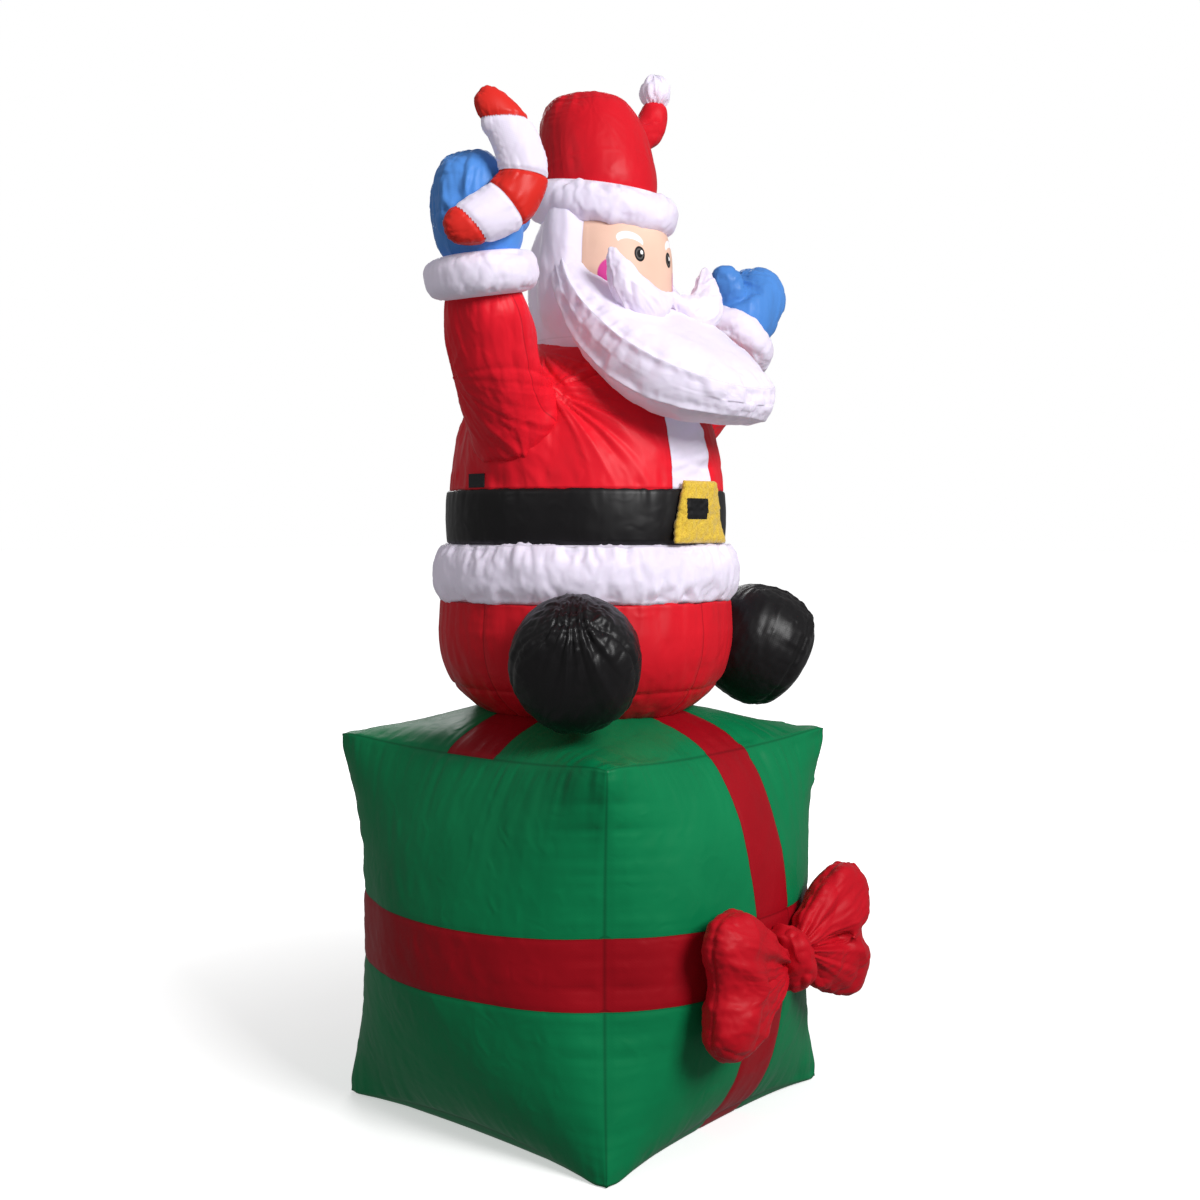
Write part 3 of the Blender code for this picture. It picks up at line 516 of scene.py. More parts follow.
def fan(points, heart, across, up, size, height, reach, seed):
    """Folds that run out from a point: creases over the angle round it, fading with distance."""
    away = points - heart
    distance = np.linalg.norm(away, axis=-1)
    spokes = np.stack([away @ across, away @ up, np.zeros_like(distance)], axis=-1)
    spokes /= np.maximum(np.linalg.norm(spokes, axis=-1, keepdims=True), 1e-6)
    ribs = 0.7 * folds(spokes, size, seed) + 0.4 * creases(spokes, size, seed + 1, 5.0)
    return height * ribs * np.exp(-distance / reach) * (1 - near(distance, 0.025))


def loop_shape(side, root):
    """A bow loop: a pillow whose outline is a heart on its side, with its point in the knot."""
    def shape(polar, around):
        reach = np.sin(polar) ** 0.8
        notch = near(around, 0.42)
        open_end = (0.5 + 0.5 * np.cos(around)) ** 0.42
        outwards = LOOP_LENGTH / 2 * (np.cos(around) - 0.30 * notch)
        upwards = LOOP_HEIGHT / 2 * 1.16 * np.sin(around) * open_end
        pinch = 1 - 0.45 * notch * reach ** 2
        y = LOOP_DEPTH / 2 * power(np.cos(polar), 0.9) * pinch * (0.45 + 0.55 * open_end)
        return np.stack([side * (LOOP_LENGTH / 2 + outwards * reach), y, upwards * reach], axis=-1) + root
    return shape


bow_nylon = nylon("bow nylon", BOW_RED, 0.50, 0.7)
heart = np.array([RIBBON_OFFSET, -(BOX_SIDE / 2 + BOX_SIDE_BULGE) - BOW_STANDOFF, BOX_HEIGHT / 2 - BOW_DROP])
ALONG_X, ALONG_Y, ALONG_Z = np.eye(3)
for side, name, lift in ((-1, "bow_loop_right", -0.4 * BOW_LIFT), (1, "bow_loop_left", 0.6 * BOW_LIFT)):
    root = heart + np.array([side * (KNOT_WIDTH / 2 - LOOP_SINK), 0.0, lift])
    polar, around = globe(100, 260, oval_outline(LOOP_HEIGHT / 2, 0.8, LOOP_DEPTH / 2, 0.9))
    around = around - pi
    points = loop_shape(side, root)(polar, around)
    seam = to_seam(points, points[..., 1] - root[1])
    heights = fan(points, root, ALONG_X, ALONG_Z, 0.30, 0.0120, 0.12, 40 + side)
    heights += fan(points, root, ALONG_X, ALONG_Z, 0.11, 0.0055, 0.080, 44 + side)
    heights += 0.0026 * folds(points, 0.050, 47) + 0.0014 * pulls(points, (side * 0.8, 0.0, 0.3), 0.020, 48)
    heights += gather(seam, 0.022, 0.0042, 0.028, 50 + side)
    heights += gather(seam, 0.010, 0.0022, 0.018, 60 + side)
    heights += 0.0018 * crumple(points, 0.035, 3) - 0.0025 * near(seam[0], 0.004)
    closed_cloth(name, raised(points, heights), seam[0], [bow_nylon])

upright = np.array([-sin(BOW_TURN), 0.0, cos(BOW_TURN)])
knot_across = np.array([cos(BOW_TURN), 0.0, sin(BOW_TURN)])
knot_path = bend(heart + upright * KNOT_HEIGHT / 2, heart, heart - upright * KNOT_HEIGHT / 2)
points, _, _ = tube(70, 120, knot_path, knot_across, KNOT_WIDTH / 2, KNOT_DEPTH / 2, 2.6,
                    KNOT_HEIGHT, KNOT_WIDTH / 2)
pressed = np.stack([points @ knot_across * 3.0, points @ upright, points[..., 1] * 3.0], axis=-1)
heights = 0.0035 * folds(pressed, 0.065, 70) + 0.0012 * folds(points, 0.02, 71)
closed_cloth("bow_knot", raised(points, heights), None, [bow_nylon])

# Trousers
# Red nylon in four side panels, sewn to a round bottom panel that settles into the box's top.
# The seams run up the front, the back and both sides.
BODY_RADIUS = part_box("seat")[1].x
HEM_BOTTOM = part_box("seat")[1].z
SEAT_BOTTOM, SEAT_HEIGHT, SEAT_SEAM, SEAT_BLUNT = 0.655, 0.230, 0.736, 2.4
# The suit's red darkened for the hat's shade: painted shade. The trousers and the hat's tail share this
# darker copy.
SHADED_SUIT_RED = (0.620, 0.008, 0.018)
red = nylon("red nylon", SHADED_SUIT_RED, 0.44, 0.6)


def turned(radii, heights, columns):
    """A turned grid: each row is a circle of its own radius and height round an upright axis."""
    around = np.arange(columns) * 2 * pi / columns + pi / 2
    return np.stack([radii[:, None] * np.cos(around), radii[:, None] * np.sin(around),
                     np.repeat(heights[:, None], columns, axis=1)], axis=-1)


def even_profile(corners, count):
    """Radii and heights at even steps along a profile given as many (radius, height) points."""
    corners = np.array(corners)
    walked = np.concatenate([[0], np.cumsum(np.linalg.norm(np.diff(corners, axis=0), axis=1))])
    steps = np.linspace(0, walked[-1], count)
    return np.interp(steps, walked, corners[:, 0]), np.interp(steps, walked, corners[:, 1])


def from_front(points, centre_y=0.0):
    """The angle round the body from the front, positive towards the figure's left."""
    return np.arctan2(points[..., 0], -(points[..., 1] - centre_y))


def face_angles(points, centre_y=0.0):
    """The same angle for the middle of every face of a closed grid."""
    middles = (points[:-1] + points[1:]) / 2
    return from_front((middles + np.roll(middles, -1, axis=1)) / 2, centre_y)


def merge_seams(*pairs):
    """The distance to the nearest of several seams."""
    return np.minimum.reduce([distance for distance, _ in pairs])


profile = [(0.02, HEM_BOTTOM), (0.985 * BODY_RADIUS, HEM_BOTTOM)]
profile += [(BODY_RADIUS * np.cos(turn) ** (2 / SEAT_BLUNT),
             SEAT_BOTTOM + 0.78 * SEAT_HEIGHT * (1 - np.sin(turn) ** (2 / SEAT_BLUNT)))
            for turn in np.linspace(0, pi / 2, 200)[:-2]]
radii, levels = even_profile(profile, 150)
points = turned(radii, levels, 400)
phi = from_front(points)
sides = to_seam(points, BODY_RADIUS * np.sin(2 * phi) / 2)
bottom = to_seam(points, points[..., 2] - SEAT_SEAM)
top = to_seam(points, points[..., 2] - HEM_BOTTOM)
heights = gather(sides, 0.016, 0.0022, 0.018, 100)
heights += gather(bottom, 0.018, 0.0030, 0.022, 103) * (points[..., 2] > SEAT_SEAM - 0.03)
heights += gather(top, 0.022, 0.0032, 0.030, 106)
heights += 0.0022 * crumple(points, 0.09, 107) + 0.0011 * pulls(points, (0.1, 0.1, 0.9), 0.030, 108)
heights -= 0.0022 * (near(sides[0], 0.004) + near(bottom[0], 0.004))
closed_cloth("seat", raised(points, heights), merge_seams(sides, bottom), [red],
             name="trousers_cloth")

# Hem
# A fat roll of white nylon sewn round the bottom of the coat. It is cut fuller than the seams
# it hangs from, so it gathers into short folds at the top and at the bottom.
WHITE = (0.745, 0.685, 0.820)
# The white nylon has a faint painted glow, an emission of its own colour, as well as subsurface light.
white = nylon("white nylon", WHITE, 0.5, 0.8, subsurface_and_painted_glow=0.2)
HEM_PUFF = 0.018


def roll(low, high, radius, puff, blunt=2.6):
    """Profile of a puffed ring: radius + puff * (1 - |2 share - 1|^blunt), from the top down."""
    share = np.linspace(0, 1, 120)
    ring = [(radius - puff + puff * (1 - abs(2 * s - 1) ** blunt), high + (low - high) * s) for s in share]
    return [(0.6 * radius, high)] + ring + [(0.6 * radius, low)]


def ring_cloth(node, material, puff, rows, columns, puckers, seed):
    """A ring of cloth between two level seams, with gathers of the given size, height and reach."""
    low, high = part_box(node)
    radii, levels = even_profile(roll(low.z, high.z, high.x, puff), rows)
    points = turned(radii, levels, columns)
    lower = to_seam(points, points[..., 2] - low.z - 0.001)
    upper = to_seam(points, points[..., 2] - high.z + 0.001)
    size, height, reach = puckers
    outside = points[..., 0] ** 2 + points[..., 1] ** 2 > (0.9 * high.x) ** 2
    heights = gather(lower, size, height, reach, seed)
    heights += gather(upper, 0.8 * size, height, reach, seed + 3)
    heights += gather(upper, 0.4 * size, 0.4 * height, 0.5 * reach, seed + 6)
    heights += 0.3 * height * crumple(points, 2.0 * size, seed + 9)
    heights += 0.10 * height * pulls(points, (0.8, 0.4, 0.6), 0.020, seed + 10)
    closed_cloth(node, raised(points, heights * outside), merge_seams(lower, upper), [material])


ring_cloth("hem", white, HEM_PUFF, 60, 480, (0.028, 0.0125, 0.032), 120)

# Belt
# A plain band of black nylon, pulled smooth round the middle between the hem and the coat.
BELT_PUFF = 0.003
black = nylon("black nylon", (0.0068, 0.0062, 0.0070), 0.40, 0.7)
feed(black, black.node_tree.nodes["Principled BSDF"], {"Specular IOR Level": 0.24})
ring_cloth("belt", black, BELT_PUFF, 44, 400, (0.028, 0.0022, 0.024), 140)

# Coat
# Red nylon, drawn in to a dome over the shoulders. A white strip is sewn down its front, and the
# raised arms pull folds out of both armpits.
coat_low, coat_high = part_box("coat")
COAT_BOTTOM, COAT_TOP, COAT_RADIUS = coat_low.z, coat_high.z, coat_high.x
COAT_HEIGHT, COAT_SPRING = COAT_TOP - COAT_BOTTOM, 0.075
PLACKET_TURN = radians(13)
FILLET = 0.013
PATCH_MIDDLE = (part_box("tether_patch")[0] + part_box("tether_patch")[1]) / 2
SHOULDER_WIDTH, SHOULDER_DROP = 0.170, 0.158
SLEEVE_RADIUS, CUFF_HEIGHT, CUFF_SINK = 0.071, 0.068, 0.026
ARMS = {"right": (-1, 0.353, 0.093, 0.055, radians(10)), "left": (1, 0.326, 0.078, 0.014, radians(38))}


def arm(name):
    """The cuff's middle, the directions of fingers, thumb and palm, and the sleeve's three points."""
    side, spread, forward, rise, tilt = ARMS[name]
    middle = np.array([side * spread, -forward, COAT_TOP + rise])
    fingers = np.array([side * sin(tilt), 0.0, cos(tilt)])
    thumb = np.array([-side * cos(tilt), 0.0, sin(tilt)])
    root = np.array([side * SHOULDER_WIDTH, 0.0, COAT_TOP - SHOULDER_DROP])
    wrist = middle - fingers * (CUFF_HEIGHT / 2 - CUFF_SINK)
    elbow = np.array([0.62 * root[0] + 0.44 * wrist[0], 0.45 * wrist[1], root[2] - 0.14 * SLEEVE_RADIUS])
    return side, middle, fingers, thumb, -ALONG_Y, root, elbow, wrist


def coat_radius(height):
    """The coat's radius at a height: a blunt dome, (1 - share^2.5)^0.4."""
    share = np.clip((height - COAT_BOTTOM + COAT_SPRING) / (COAT_HEIGHT + COAT_SPRING), 0.0, 1.0)
    return 1.009 * COAT_RADIUS * (1 - share ** 2.5) ** 0.4


levels = COAT_BOTTOM + COAT_HEIGHT * np.sin(np.linspace(pi / 2 - 0.01, 0, 400))
profile = [(float(coat_radius(height)), height) for height in levels]
profile += [(COAT_RADIUS - 0.005, COAT_BOTTOM - 0.012), (0.6 * COAT_RADIUS, COAT_BOTTOM - 0.012)]
radii, levels = even_profile(profile, 150)
points = turned(radii, levels, 420)
phi = from_front(points)
placket = to_seam(points, COAT_RADIUS * (np.abs(phi) - PLACKET_TURN))
foot = to_seam(points, points[..., 2] - COAT_BOTTOM)
back = to_seam(points, np.where(points[..., 1] > 0, points[..., 0], COAT_RADIUS))
heights = gather(foot, 0.024, 0.0035, 0.035, 160)
heights += gather(placket, 0.020, 0.0042, 0.020, 163) - 0.0016 * near(placket[0], 0.004)
heights += 0.0030 * crumple(points, 0.11, 165) + 0.0013 * pulls(points, (0.4, -0.3, -0.9), 0.036, 166)
on_placket = ramp(0.9 * PLACKET_TURN - np.abs(phi), 0.02)
heights += 0.0040 * on_placket * pulls(points, (1.0, 0.0, 0.2), 0.026, 168)
for name, (side, *_) in ARMS.items():
    armpit = np.array([side * 0.190, -0.077, COAT_TOP - 0.114])
    heights += fan(points, armpit, ALONG_X, ALONG_Z, 0.18, 0.0130, 0.095, 170 + side)
    neck = np.array([side * 0.135, -0.024, COAT_TOP - 0.035])
    heights += fan(points, neck, ALONG_Y, ALONG_Z, 0.12, 0.0085, 0.120, 180 + side)
    root, elbow, wrist = arm(name)[-3:]
    axis = bend(root, elbow, wrist)(np.linspace(0, 1, 40))
    off_sleeve = np.linalg.norm(points[..., None, :] - axis, axis=-1).min(axis=-1) - SLEEVE_RADIUS
    heights += FILLET * near(np.clip(off_sleeve, 0, None), 0.030)
heights *= 1 - np.exp(-(np.linalg.norm(points - np.array(PATCH_MIDDLE), axis=-1) / 0.030) ** 4)
head_low, head_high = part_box("head")
off_head = np.hypot(points[..., 0], points[..., 1] - (head_low.y + head_high.y) / 2) - head_high.x
heights *= 0.1 + 0.9 * ramp(off_head - 0.030, 0.008)
points = raised(points, heights)
# The coat's and sleeves' red, lighter than the copy on the trousers and hat, which is darkened as painted
# shade.
coat_nylon = nylon("coat nylon", (0.760, 0.010, 0.024), 0.44, 0.6)
closed_cloth("coat", points, merge_seams(placket, foot, back), [coat_nylon, white],
             (np.abs(face_angles(points)) < PLACKET_TURN).astype(int))

# Boots
# Black nylon: a round sole panel that looks out and down, sewn to a gathered upper.
BOOT_WIDTH, BOOT_HEIGHT, BOOT_DEPTH = 0.222, 0.232, 0.200
BOOT_SPLAY, BOOT_DROP = radians(52), radians(28)
BOOT_STANDOFF, BOOT_HANG = 0.056, 0.086

for side, name in ((-1, "boot_right"), (1, "boot_left")):
    outwards = np.array([side * sin(BOOT_SPLAY), -cos(BOOT_SPLAY), 0.0])
    sole = outwards * cos(BOOT_DROP) - ALONG_Z * sin(BOOT_DROP)
    toe = outwards * sin(BOOT_DROP) + ALONG_Z * cos(BOOT_DROP)
    across = np.cross(toe, sole)
    middle = outwards * (BODY_RADIUS + BOOT_STANDOFF) + ALONG_Z * (HEM_BOTTOM - BOOT_HANG)
    polar, around = globe(130, 260, oval_outline(BOOT_HEIGHT / 2, 0.8, BOOT_DEPTH / 2, 0.8))
    depth = power(np.cos(polar), 0.80)
    depth = np.where(depth > 0, depth * (1 - 0.10 * depth), depth)
    reach = np.sin(polar) ** 0.80 * (1 - 0.14 * (0.5 - 0.5 * depth))
    tall = reach * np.cos(around) * BOOT_HEIGHT / 2
    wide = reach * (np.sin(around) * BOOT_WIDTH / 2 * (1 + 0.06 * np.cos(around)))
    points = (middle + (depth * BOOT_DEPTH / 2)[..., None] * sole + tall[..., None] * toe
              + wide[..., None] * across)
    seam = to_seam(points, (points - middle) @ sole - 0.25 * BOOT_DEPTH)
    heights = gather(seam, 0.024, 0.0042, 0.030, 200 + side)
    heights += gather(seam, 0.011, 0.0018, 0.020, 206 + side)
    heights -= 0.0030 * near(seam[0], 0.005)
    brow = middle + toe * 0.56 * BOOT_HEIGHT + sole * 0.30 * BOOT_DEPTH
    heights += fan(points, brow, across, toe, 0.16, 0.0100, 0.060, 210 + side)
    crumpled = near(np.linalg.norm(points - brow, axis=-1), 0.08)
    heights += (0.0008 + 0.0026 * crumpled) * pulls(points, toe + 0.3 * across, 0.020, 216)
    heights += 0.0018 * crumple(points, 0.06, 215)
    closed_cloth(name, raised(points, heights), seam[0], [black])

# Head
# A tall barrel of white nylon on the shoulders. A peach panel is let into its front, with the
# brows, eyes and cheeks printed on it. Its white nylon lets some light in under its surface and has a
# painted glow.
HEAD_RADIUS, HEAD_TOP = head_high.x, head_high.z
HEAD_Y = (head_low.y + head_high.y) / 2
HEAD_HEIGHT = 0.290
FACE_TURN = radians(64)
LIP_LEVEL = HEAD_TOP - HEAD_HEIGHT + 0.1145
PEACH = (0.810, 0.530, 0.410)
EYE_OUT, EYE_LEVEL, EYE_SIZE = 0.040, 1.470, (0.0108, 0.0130)
BROW_OUT, BROW_LEVEL, BROW_TILT = 0.057, 1.493, 0.16
EYE_RINGS = ((1.0, (0.006, 0.006, 0.007)), (0.72, (0.085, 0.080, 0.078)), (0.50, (0.004, 0.004, 0.005)))
CHEEK_OUT, CHEEK_LEVEL, CHEEK_SIZE = 0.089, 1.434, 0.0265


def spot(material, factor, colour, below):
    """Lay a colour over what a material has so far, where the factor is 1. Gives the new colour."""
    return shade(material, "Mix", {"Factor": factor, "A": below, "B": (*colour, 1.0)}, "Result",
                 data_type="RGBA")


def oval(material, place, centre, size, tilt=0.0):
    """A soft-edged mask, 1 inside an oval of those half sizes: 1 where |turned offset / size| < 1."""
    moved = shade(material, "Mapping", {"Vector": place, "Location": (*centre, 0.0), "Scale": (*size, 1.0),
                                        "Rotation": (0.0, 0.0, tilt)}, vector_type="TEXTURE")
    far = shade(material, "VectorMath", {0: moved}, "Value", operation="LENGTH")
    return ranged(material, far, 1.04, 0.96)


face_cloth = nylon("face nylon", PEACH, 0.45, 0.35)
face_shader = face_cloth.node_tree.nodes["Principled BSDF"]
at = shade(face_cloth, "Attribute", {}, "Vector", attribute_name="face_place")
coloured = face_shader.inputs["Base Color"].links[0].from_socket
for side in (-1, 1):
    cheek = oval(face_cloth, at, (side * CHEEK_OUT, CHEEK_LEVEL), (CHEEK_SIZE, CHEEK_SIZE))
    coloured = spot(face_cloth, cheek, (0.64, 0.060, 0.29), coloured)
    outer = oval(face_cloth, at, (side * BROW_OUT, BROW_LEVEL), (0.026, 0.0135), side * BROW_TILT)
    inner = oval(face_cloth, at, (side * (BROW_OUT - 0.002), BROW_LEVEL - 0.0105), (0.0255, 0.0115),
                 side * BROW_TILT)
    brow = shade(face_cloth, "Math", {0: outer, 1: inner}, operation="SUBTRACT")
    coloured = spot(face_cloth, brow, (0.90, 0.88, 0.92), coloured)
    for size, tone in EYE_RINGS:
        ring = oval(face_cloth, at, (side * EYE_OUT, EYE_LEVEL), (EYE_SIZE[0] * size, EYE_SIZE[1] * size))
        coloured = spot(face_cloth, ring, tone, coloured)
    glint = oval(face_cloth, at, (side * EYE_OUT + 0.0042, EYE_LEVEL + 0.0030), (0.0030, 0.0036))
    coloured = spot(face_cloth, glint, (0.95, 0.95, 0.95), coloured)
face_cloth.node_tree.links.new(coloured, face_shader.inputs["Base Color"])

polar, around = globe(120, 330, oval_outline(HEAD_RADIUS, 0.4, HEAD_HEIGHT / 2, 0.62))
around = around + pi
tall = power(np.cos(polar), 0.62)
reach = HEAD_RADIUS * np.sin(polar) ** 0.40 * (1 - 0.05 * tall ** 2)
points = np.stack([reach * np.sin(around), HEAD_Y - reach * np.cos(around),
                   HEAD_TOP - HEAD_HEIGHT / 2 + tall * HEAD_HEIGHT / 2], axis=-1)
smooth = points.copy()
phi = from_front(points, HEAD_Y)
collar = to_seam(points, points[..., 2] - (COAT_TOP - 0.012))
panel = to_seam(points, HEAD_RADIUS * (np.abs(phi) - FACE_TURN))
off_face = ramp(np.abs(phi) - FACE_TURN, 0.05)
heights = gather(collar, 0.030, 0.0030, 0.040, 230) * off_face
heights += (0.0016 + 0.0016 * off_face) * crumple(points, 0.055, 233)
heights += 0.0012 * off_face * pulls(points, (0.3, 0.2, 0.9), 0.024, 234)
heights -= 0.0012 * near(panel[0], 0.003)
sideburn = ramp(np.abs(phi) - FACE_TURN - 0.10, 0.035) * ramp(1.75 - np.abs(phi), 0.06)
heights += 0.024 * sideburn * ramp(points[..., 2] - LIP_LEVEL + 0.03, 0.012)
points = raised(points, heights)
on_face = (np.abs(face_angles(smooth, HEAD_Y)) < FACE_TURN) & (points[:-1, :, 2] > LIP_LEVEL - 0.02)
head = closed_cloth("head", points, merge_seams(panel, collar),
                    [white, face_cloth], on_face.astype(int))
drawn = np.stack([HEAD_RADIUS * phi, smooth[..., 2], np.zeros_like(phi)], axis=-1).reshape(-1, 3)
drawn = np.concatenate([drawn, [[0.0, HEAD_TOP, 0.0], [0.0, HEAD_TOP - HEAD_HEIGHT, 0.0]]])
head.data.attributes.new("face_place", "FLOAT_VECTOR", "POINT").data.foreach_set(
    "vector", drawn.astype(np.float32).ravel())

# Beard
# A broad white pillow that hangs from ear to ear: a front and a back panel with a strip between
# them. Both seams of that strip stand up as pinched ridges, and the cloth puckers along them.
BEARD_WIDTH, BEARD_DEPTH, BEARD_REACH, BEARD_DROP = 0.322, 0.146, 0.322, 0.135
BEARD_BACK, EAR_DROP, THROAT_REACH, THROAT_DROP = 0.022, 0.004, 0.066, 0.058
STRIP_HALF, BEARD_BLUNT, BEARD_SQUARE = 0.030, 2.7, 0.72


def beard_half_depth(share):
    """Half the beard's thickness: thin beside the face, full under the mouth, thinner at the tip."""
    tip_share = np.clip((share - 0.78) / 0.22, 0, 1)
    return BEARD_DEPTH / 2 * (0.50 + 0.50 * ramp(share - 0.44, 1 / 14)) * (1 - 0.24 * tip_share ** 2)


beard_path = bend((0.0, HEAD_Y + BEARD_BACK, HEAD_TOP - EAR_DROP),
                  (0.0, HEAD_Y - THROAT_REACH, COAT_TOP - THROAT_DROP),
                  (0.0, HEAD_Y - BEARD_REACH, COAT_TOP - BEARD_DROP))
points, polar, around = tube(170, 360, beard_path, ALONG_X,
                             lambda share: BEARD_WIDTH / 2 * (0.96 + 0.42 * share * (1 - share)),
                             beard_half_depth, BEARD_BLUNT, 0.50, BEARD_WIDTH / 2, BEARD_SQUARE)
share, reach = rounded(polar, BEARD_BLUNT)
deep = beard_half_depth(share) * reach * power(np.sin(around), BEARD_SQUARE)
strip = STRIP_HALF * beard_half_depth(share) / (BEARD_DEPTH / 2)
seam = to_seam(points, np.abs(deep) - strip)
heights = gather(seam, 0.034, 0.0085, 0.034, 250) + gather(seam, 0.014, 0.0034, 0.022, 256)
heights += 0.0030 * near(seam[0], 0.006)
heights += 0.0040 * crumple(points, 0.080, 260) + 0.0012 * pulls(points, (0.8, 0.5, -0.3), 0.034, 261)
closed_cloth("beard", raised(points, heights), seam[0] + 0.0008, [white])

# Moustache
# Two white leaves sewn to the lip, each of a front and a back panel joined round the edge.
MOUSTACHE_LENGTH, MOUSTACHE_HEIGHT, MOUSTACHE_DEPTH = 0.150, 0.066, 0.064
MOUSTACHE_STANDOFF, MOUSTACHE_RISE = 0.030, 0.012
MOUSTACHE_BLUNT = 2.3


def plump(share, half):
    """The leaf's half width: full in the middle, half as wide at its root and fuller at its tip."""
    share = np.clip(share, 0, 1)
    return half * (0.50 + 0.16 * share ** 2 + 0.50 * np.sin(pi * share ** 0.9))


for side, name in ((-1, "moustache_right"), (1, "moustache_left")):
    lip = np.array([0.0, HEAD_Y - HEAD_RADIUS - MOUSTACHE_STANDOFF, LIP_LEVEL + MOUSTACHE_RISE])
    sag = np.array([0.68 * side, -0.09, -0.47]) * MOUSTACHE_LENGTH
    tip = np.array([0.86 * side, 0.17, 0.43]) * MOUSTACHE_LENGTH
    points, polar, around = tube(100, 130, bend(lip, lip + sag, lip + tip), ALONG_Y,
                                 lambda share: plump(share, MOUSTACHE_DEPTH / 2),
                                 lambda share: plump(share, MOUSTACHE_HEIGHT / 2),
                                 MOUSTACHE_BLUNT, 0.20, MOUSTACHE_HEIGHT / 2)
    seam = to_seam(points, rounded(polar, MOUSTACHE_BLUNT)[1] * np.cos(around) * MOUSTACHE_DEPTH / 2)
    heights = gather(seam, 0.018, 0.0042, 0.018, 270 + side) + 0.0016 * crumple(points, 0.03, 276)
    heights += 0.0018 * near(seam[0], 0.004) + 0.0022 * pulls(points, (side * 0.7, 0.0, 0.6), 0.018, 277)
    closed_cloth(name, raised(points, heights), seam[0] + 0.0008, [white])

# Hat
# A white roll for the brim, a red crown that leans back, and a thin red tail with a white
# pompom, which springs out of the crown's left side.
BRIM_RADIUS, BRIM_HEIGHT, BRIM_TILT = 0.136, 0.080, radians(10)
HAT_RADIUS, HAT_HEIGHT, HAT_SINK, HAT_LEAN, HAT_TAPER = 0.103, 0.206, 0.045, 0.035, 0.26
TAIL_RADIUS, TAIL_REACH, TAIL_RISE, POMPOM_RADIUS = 0.029, 0.068, 0.095, 0.031
hat_middle = np.array([0.0, HEAD_Y, HEAD_TOP])
back = np.array([0.0, cos(BRIM_TILT), sin(BRIM_TILT)])
crown = np.array([0.0, -sin(BRIM_TILT), cos(BRIM_TILT)])


def puffed_ring(middle, first, second, upright, radius, height, blunt, rows, columns, puckers, seed):
    """A fat disc of cloth across an axis, gathered at its top and bottom edges."""
    polar, around = globe(rows, columns, oval_outline(radius, 0.36, height / 2, blunt))
    reach, tall = radius * np.sin(polar) ** 0.36, power(np.cos(polar), blunt) * height / 2
    points = (middle + (reach * np.cos(around))[..., None] * first
              + (reach * np.sin(around))[..., None] * second + tall[..., None] * upright)
    size, lift, far = puckers
    heights = np.zeros(polar.shape)
    for end, step in ((-1, 0), (1, 5)):
        seam = to_seam(points, end * tall - 0.44 * height)
        heights += gather(seam, size, lift, far, seed + step)
        heights += gather(seam, 0.45 * size, 0.4 * lift, 0.6 * far, seed + step + 2)
    heights += 0.35 * lift * crumple(points, 1.6 * size, seed + 10)
    return raised(points, heights * (reach > 0.8 * radius))


points = puffed_ring(hat_middle, ALONG_X, back, crown, BRIM_RADIUS, BRIM_HEIGHT, 0.85, 90, 330,
                     (0.024, 0.0075, 0.026), 290)
closed_cloth("hat_brim", points, None, [white])

foot_of_hat = hat_middle + crown * (BRIM_HEIGHT / 2 - HAT_SINK)
polar, around = globe(120, 300, oval_outline(HAT_RADIUS, 0.42, HAT_HEIGHT / 2, 0.55))
tall = 0.5 + 0.5 * power(np.cos(polar), 0.55)
reach = HAT_RADIUS * np.sin(polar) ** 0.42 * (1.05 - HAT_TAPER * tall ** 1.6)
backwards = reach * np.sin(around) + HAT_LEAN * tall ** 1.5
points = (foot_of_hat + (reach * np.cos(around))[..., None] * ALONG_X + backwards[..., None] * ALONG_Y
          + (tall * HAT_HEIGHT)[..., None] * ALONG_Z)
top = to_seam(points, points[..., 2] - foot_of_hat[2] - 0.90 * HAT_HEIGHT)
above_foot = points[..., 2] - foot_of_hat[2]
foot = to_seam(points, above_foot - 0.36 * HAT_HEIGHT + 0.17 * (points[..., 1] - HEAD_Y))
heights = gather(foot, 0.024, 0.0034, 0.035, 310) + gather(top, 0.026, 0.0040, 0.024, 314)
heights += 0.0024 * crumple(points, 0.08, 318) + 0.0007 * pulls(points, (0.4, 0.2, 0.9), 0.034, 319)
shoulder = hat_middle + [-0.065, 0.070, 0.160]
heights += fan(points, shoulder, ALONG_X, ALONG_Z, 0.20, 0.0040, 0.060, 321)
# The crown takes the darker copy of the suit's red, painted shade.
closed_cloth("hat", raised(points, heights), top[0], [red])

tail_root = foot_of_hat + ALONG_X * 0.55 * HAT_RADIUS + [0.0, 0.6 * HAT_LEAN, 0.77 * HAT_HEIGHT]
elbow = tail_root + ALONG_X * (0.45 * HAT_RADIUS + TAIL_REACH) - ALONG_Z * 0.32 * TAIL_REACH
tail_tip = elbow + ALONG_Z * TAIL_RISE + [0.06 * TAIL_REACH, -0.06 * TAIL_REACH, 0.0]
points, _, _ = tube(90, 110, bend(tail_root, elbow, tail_tip), ALONG_Y, TAIL_RADIUS, TAIL_RADIUS, 4.0,
                    0.16, TAIL_RADIUS)
crook = np.linalg.norm(points - (0.25 * tail_root + 0.5 * elbow + 0.25 * tail_tip), axis=-1)
heights = 0.0028 * folds(points, 0.022, 330) * near(crook, 0.04) + 0.0012 * crumple(points, 0.02, 331)
closed_cloth("hat_tail", raised(points, heights), None, [red])

